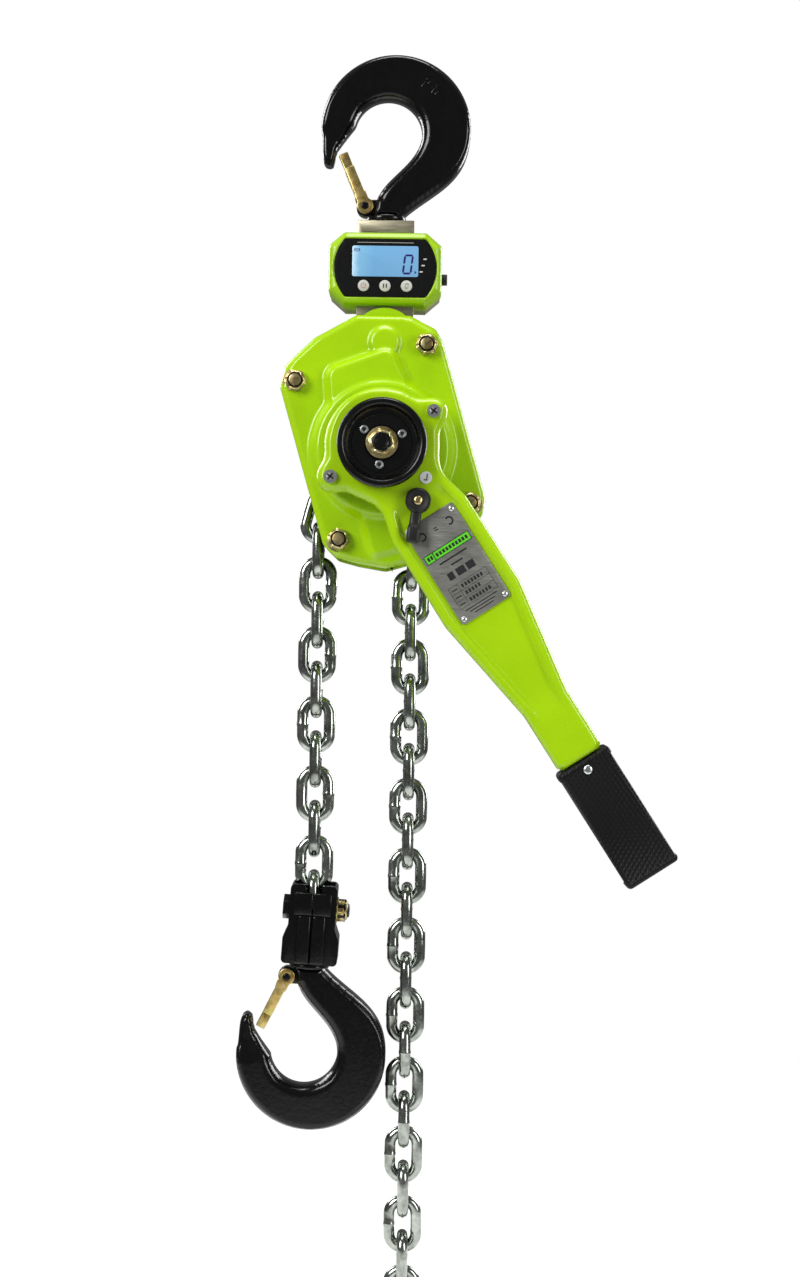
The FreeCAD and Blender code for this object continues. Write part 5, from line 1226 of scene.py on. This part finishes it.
def linkPlaces(node):
    # where each link of a CAD run lies: its middle and its long, wide and thin directions
    made = copyOf(node, "run")
    shape = bmesh.new()
    shape.from_mesh(made.data)
    thrownAway([made])
    left, places = set(shape.faces), []
    while left:
        stack, group = [left.pop()], []
        while stack:
            face = stack.pop()
            group.append(face)
            for edge in face.edges:
                for other in edge.link_faces:
                    if other in left:
                        left.remove(other)
                        stack.append(other)
        areas = np.array([f.calc_area() for f in group])
        centres = np.array([f.calc_center_median() for f in group])
        middle = (centres * areas[:, None]).sum(0) / areas.sum()
        axes = np.linalg.eigh((centres - middle).T @ ((centres - middle) * areas[:, None]))[1]
        longAxis, wideAxis = Vector(axes[:, 2]), Vector(axes[:, 1])
        if longAxis.z < 0:
            longAxis.negate()
        turn = Matrix((wideAxis, longAxis.cross(wideAxis), longAxis)).transposed().to_4x4()
        places.append(Matrix.Translation(Vector(middle)) @ turn)
    shape.free()
    return places


pattern = weldedLink()
for node in ("chain_on_sheave", "chain_transfer_links", "load_chain_lead", "load_chain", "slack_chain"):
    links = [movedCopy(pattern, place) for place in linkPlaces(node)]
    settled(joined(node + "Links", links), brightZinc, bodyOf[node], node, angle=80)
thrownAway([pattern])
refined("slack_chain_stop", brightZinc, 0, smooth=80)

# bottom yoke: two forged halves with ribs, a wall over the link slot, a pad for the bolt, and the bolt's lock nut
print("yoke")
yoke = {"rib": (12.4, 4.6, 42), "ribTop": 0.9, "wall": (15.5, 2.6, 19), "cheek": (7, 5, 18.4), "slotMiddle": 6,
    "nutAt": 20.1}
for side, node in ((-1, "yoke_left"), (1, "yoke_right")):
    refined(node, forgedEnamel, 1.6, 4, 28, smooth=50)
    ribs = []
    for facing in (-1, 1):
        rib = block(*yoke["rib"])
        for vertex in rib.data.vertices:
            vertex.co.x *= yoke["ribTop"] if vertex.co.z > 0 else 1
        wall = block(*yoke["wall"], side * 8.0, facing * 22.6, yoke["slotMiddle"])
        cheek = block(*yoke["cheek"], side * 12.0, facing * 21, yoke["slotMiddle"])
        ribs += [softEdges(shifted(rib, side * 6.3, facing * 20.8, -24.5), 2.0, 4), softEdges(wall, 1.1, 3),
            softEdges(cheek, 1.2, 3)]
    pad = turnedPart("boltPad", [(6.1, 18.4), (12.5, 18.4), (13.4, 19.2), (13.4, 20.1), (6.1, 20.1), (6.1, 18.4)],
        48, along="X")
    if side < 0:
        pad.data.transform(Matrix.Rotation(math.pi, 4, "Z"))
    settled(joined(node + "Ribs", ribs + [pad]), forgedEnamel, bodyOf[node], place=yokeFrame,
        angle=50)
refined("yoke_bolt", forgedEnamel, 0.9, 3, 30)
yokeNut = lockNut("yokeNut", 17.8, 9.6, 6.05, 1.6)
place = yokeFrame @ Matrix.Translation((yoke["nutAt"] * mm, 0, 0)) @ towardsRight
for name, parts, material, slot in (("yokeNutBody", (0, 3), boltGold, "bolt_gold"),
        ("yokeNutStud", (1, 2), oiledSteel, "dark_steel")):
    settled(joined(name, [movedCopy(yokeNut[part], place) for part in parts]), material, bodyOf["yoke_bolt"],
        angle=32)
thrownAway(yokeNut)

# the inner works keep their shape and get their finish
print("inner works")
refined("front_side_plate", limeEnamel, 0.8, 2, 35)
refined("rear_side_plate", limeEnamel, 0.8, 2, 35)
refined("chain_guide", plateEnamel, 2.0, 3, 35)
inside = ((bearingSteel, ("swivel_thrust_bearing", "top_hook_nut", "sheave_bearings")),
    (frictionLining, ("friction_discs",)), (oiledSteel, ("suspension_pin", "load_sheave", "load_gear",
    "intermediate_gear_left", "intermediate_gear_right", "pinion_shaft", "brake_hub", "ratchet_disc",
    "brake_pawl_left", "brake_pawl_right", "pawl_pins", "change_gear", "selector_pawl")))
for material, works in inside:
    for node in works:
        nodes[node].data.materials.clear()
        nodes[node].data.materials.append(material)

# floor, light and camera
print("studio")
low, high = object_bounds()
studio = {"drop": 0.02, "radius": 4.0, "solid": 0.35, "gone": 1.5, "dim": 0.16, "cameraAt": (0.0169, -1.8, -0.4633),
    "lens": 58.8, "roll": 0.014}
deselectAll()
bpy.ops.mesh.primitive_circle_add(vertices=96, radius=studio["radius"], fill_type="NGON", location=(0, 0, 0))
floor = bpy.context.object
floor.name = "studioFloor"
inEditMode(floor, bpy.ops.mesh.poke, everything=True)
floor.data.transform(Matrix.Translation((0, 0, low.z - studio["drop"])))
# pale painted floor that melts into the white of the room at its rim
paper, tree, shader = blankMaterial("floorPaint", Roughness=0.85)
place = addNode(tree, "ShaderNodeTexCoord").outputs["Object"]
tooth = addNode(tree, "ShaderNodeTexNoise", {"Vector": place, "Scale": 60.0})
grey = addNode(tree, "ShaderNodeValToRGB", {"Fac": tooth.outputs["Fac"]},
    stops=[(0.3, "#f4f4f3"), (0.7, "#f9f9f8")])
tree.links.new(grey.outputs["Color"], shader.inputs["Base Color"])
flatPlace = addNode(tree, "ShaderNodeVectorMath", {0: place, 1: (1, 1, 0)}, operation="MULTIPLY")
reach = addNode(tree, "ShaderNodeVectorMath", {0: flatPlace.outputs["Vector"]}, operation="LENGTH")
fade = addNode(tree, "ShaderNodeMapRange", {"Value": reach.outputs["Value"], "From Min": studio["solid"],
    "From Max": studio["gone"], "To Min": 1.0, "To Max": 0.0}, interpolation_type="SMOOTHERSTEP")
tree.links.new(fade.outputs["Result"], shader.inputs["Alpha"])
floor.data.materials.append(paper)


def softBox(name, at, target, size, watts):
    lamp = bpy.data.lights.new(name, "AREA")
    lamp.shape, lamp.size, lamp.size_y, lamp.energy = "RECTANGLE", size[0], size[1], watts
    holder = bpy.data.objects.new(name, lamp)
    holder.location = at
    holder.rotation_mode = "QUATERNION"
    holder.rotation_quaternion = (Vector(target) - Vector(at)).to_track_quat("-Z", "Y")
    bpy.context.scene.collection.objects.link(holder)


middle = Vector((0.02, 0, -0.5))
lamps = {"keyBox": ((-1.7, -1.7, 0.7), (1.1, 1.5), 60), "fillBox": ((2.0, -1.5, -0.1), (0.8, 1.6), 29),
    "topBox": ((0.1, -0.2, 1.7), (1.4, 1.0), 34), "rearBoxLeft": ((-1.6, 1.6, 0.5), (0.8, 1.5), 30),
    "rearBoxRight": ((1.7, 1.5, 0.1), (0.8, 1.5), 30)}
for name, (at, size, watts) in lamps.items():
    softBox(name, at, middle, size, watts)
world = bpy.data.worlds.new("studioAir")
world.use_nodes = True
tree = world.node_tree
dim = tree.nodes["Background"]      # what lights the piece
dim.inputs["Color"].default_value, dim.inputs["Strength"].default_value = (1, 1, 1, 1), studio["dim"]
plain = addNode(tree, "ShaderNodeBackground", {"Color": (1, 1, 1, 1), "Strength": 1.0})      # the white of the room
seen = addNode(tree, "ShaderNodeLightPath")
both = addNode(tree, "ShaderNodeMixShader", {0: seen.outputs["Is Camera Ray"], 1: dim.outputs[0],
    2: plain.outputs[0]})
tree.links.new(both.outputs[0], tree.nodes["World Output"].inputs["Surface"])
bpy.context.scene.world = world
bpy.context.scene.view_settings.view_transform = "Standard"
bpy.context.scene.view_settings.look = "None"

lens = bpy.data.cameras.new("studioCamera")
lens.sensor_width, lens.lens, lens.clip_start, lens.clip_end = 36.0, studio["lens"], 0.05, 50.0
camera = bpy.data.objects.new("studioCamera", lens)
right, up = Vector((1, 0, studio["roll"])).normalized(), Vector((-studio["roll"], 0, 1)).normalized()
turned = Matrix((right, up, right.cross(up))).transposed().to_4x4()
camera.matrix_world = Matrix.Translation(studio["cameraAt"]) @ turned
bpy.context.scene.collection.objects.link(camera)
bpy.context.scene.camera = camera

print("done")
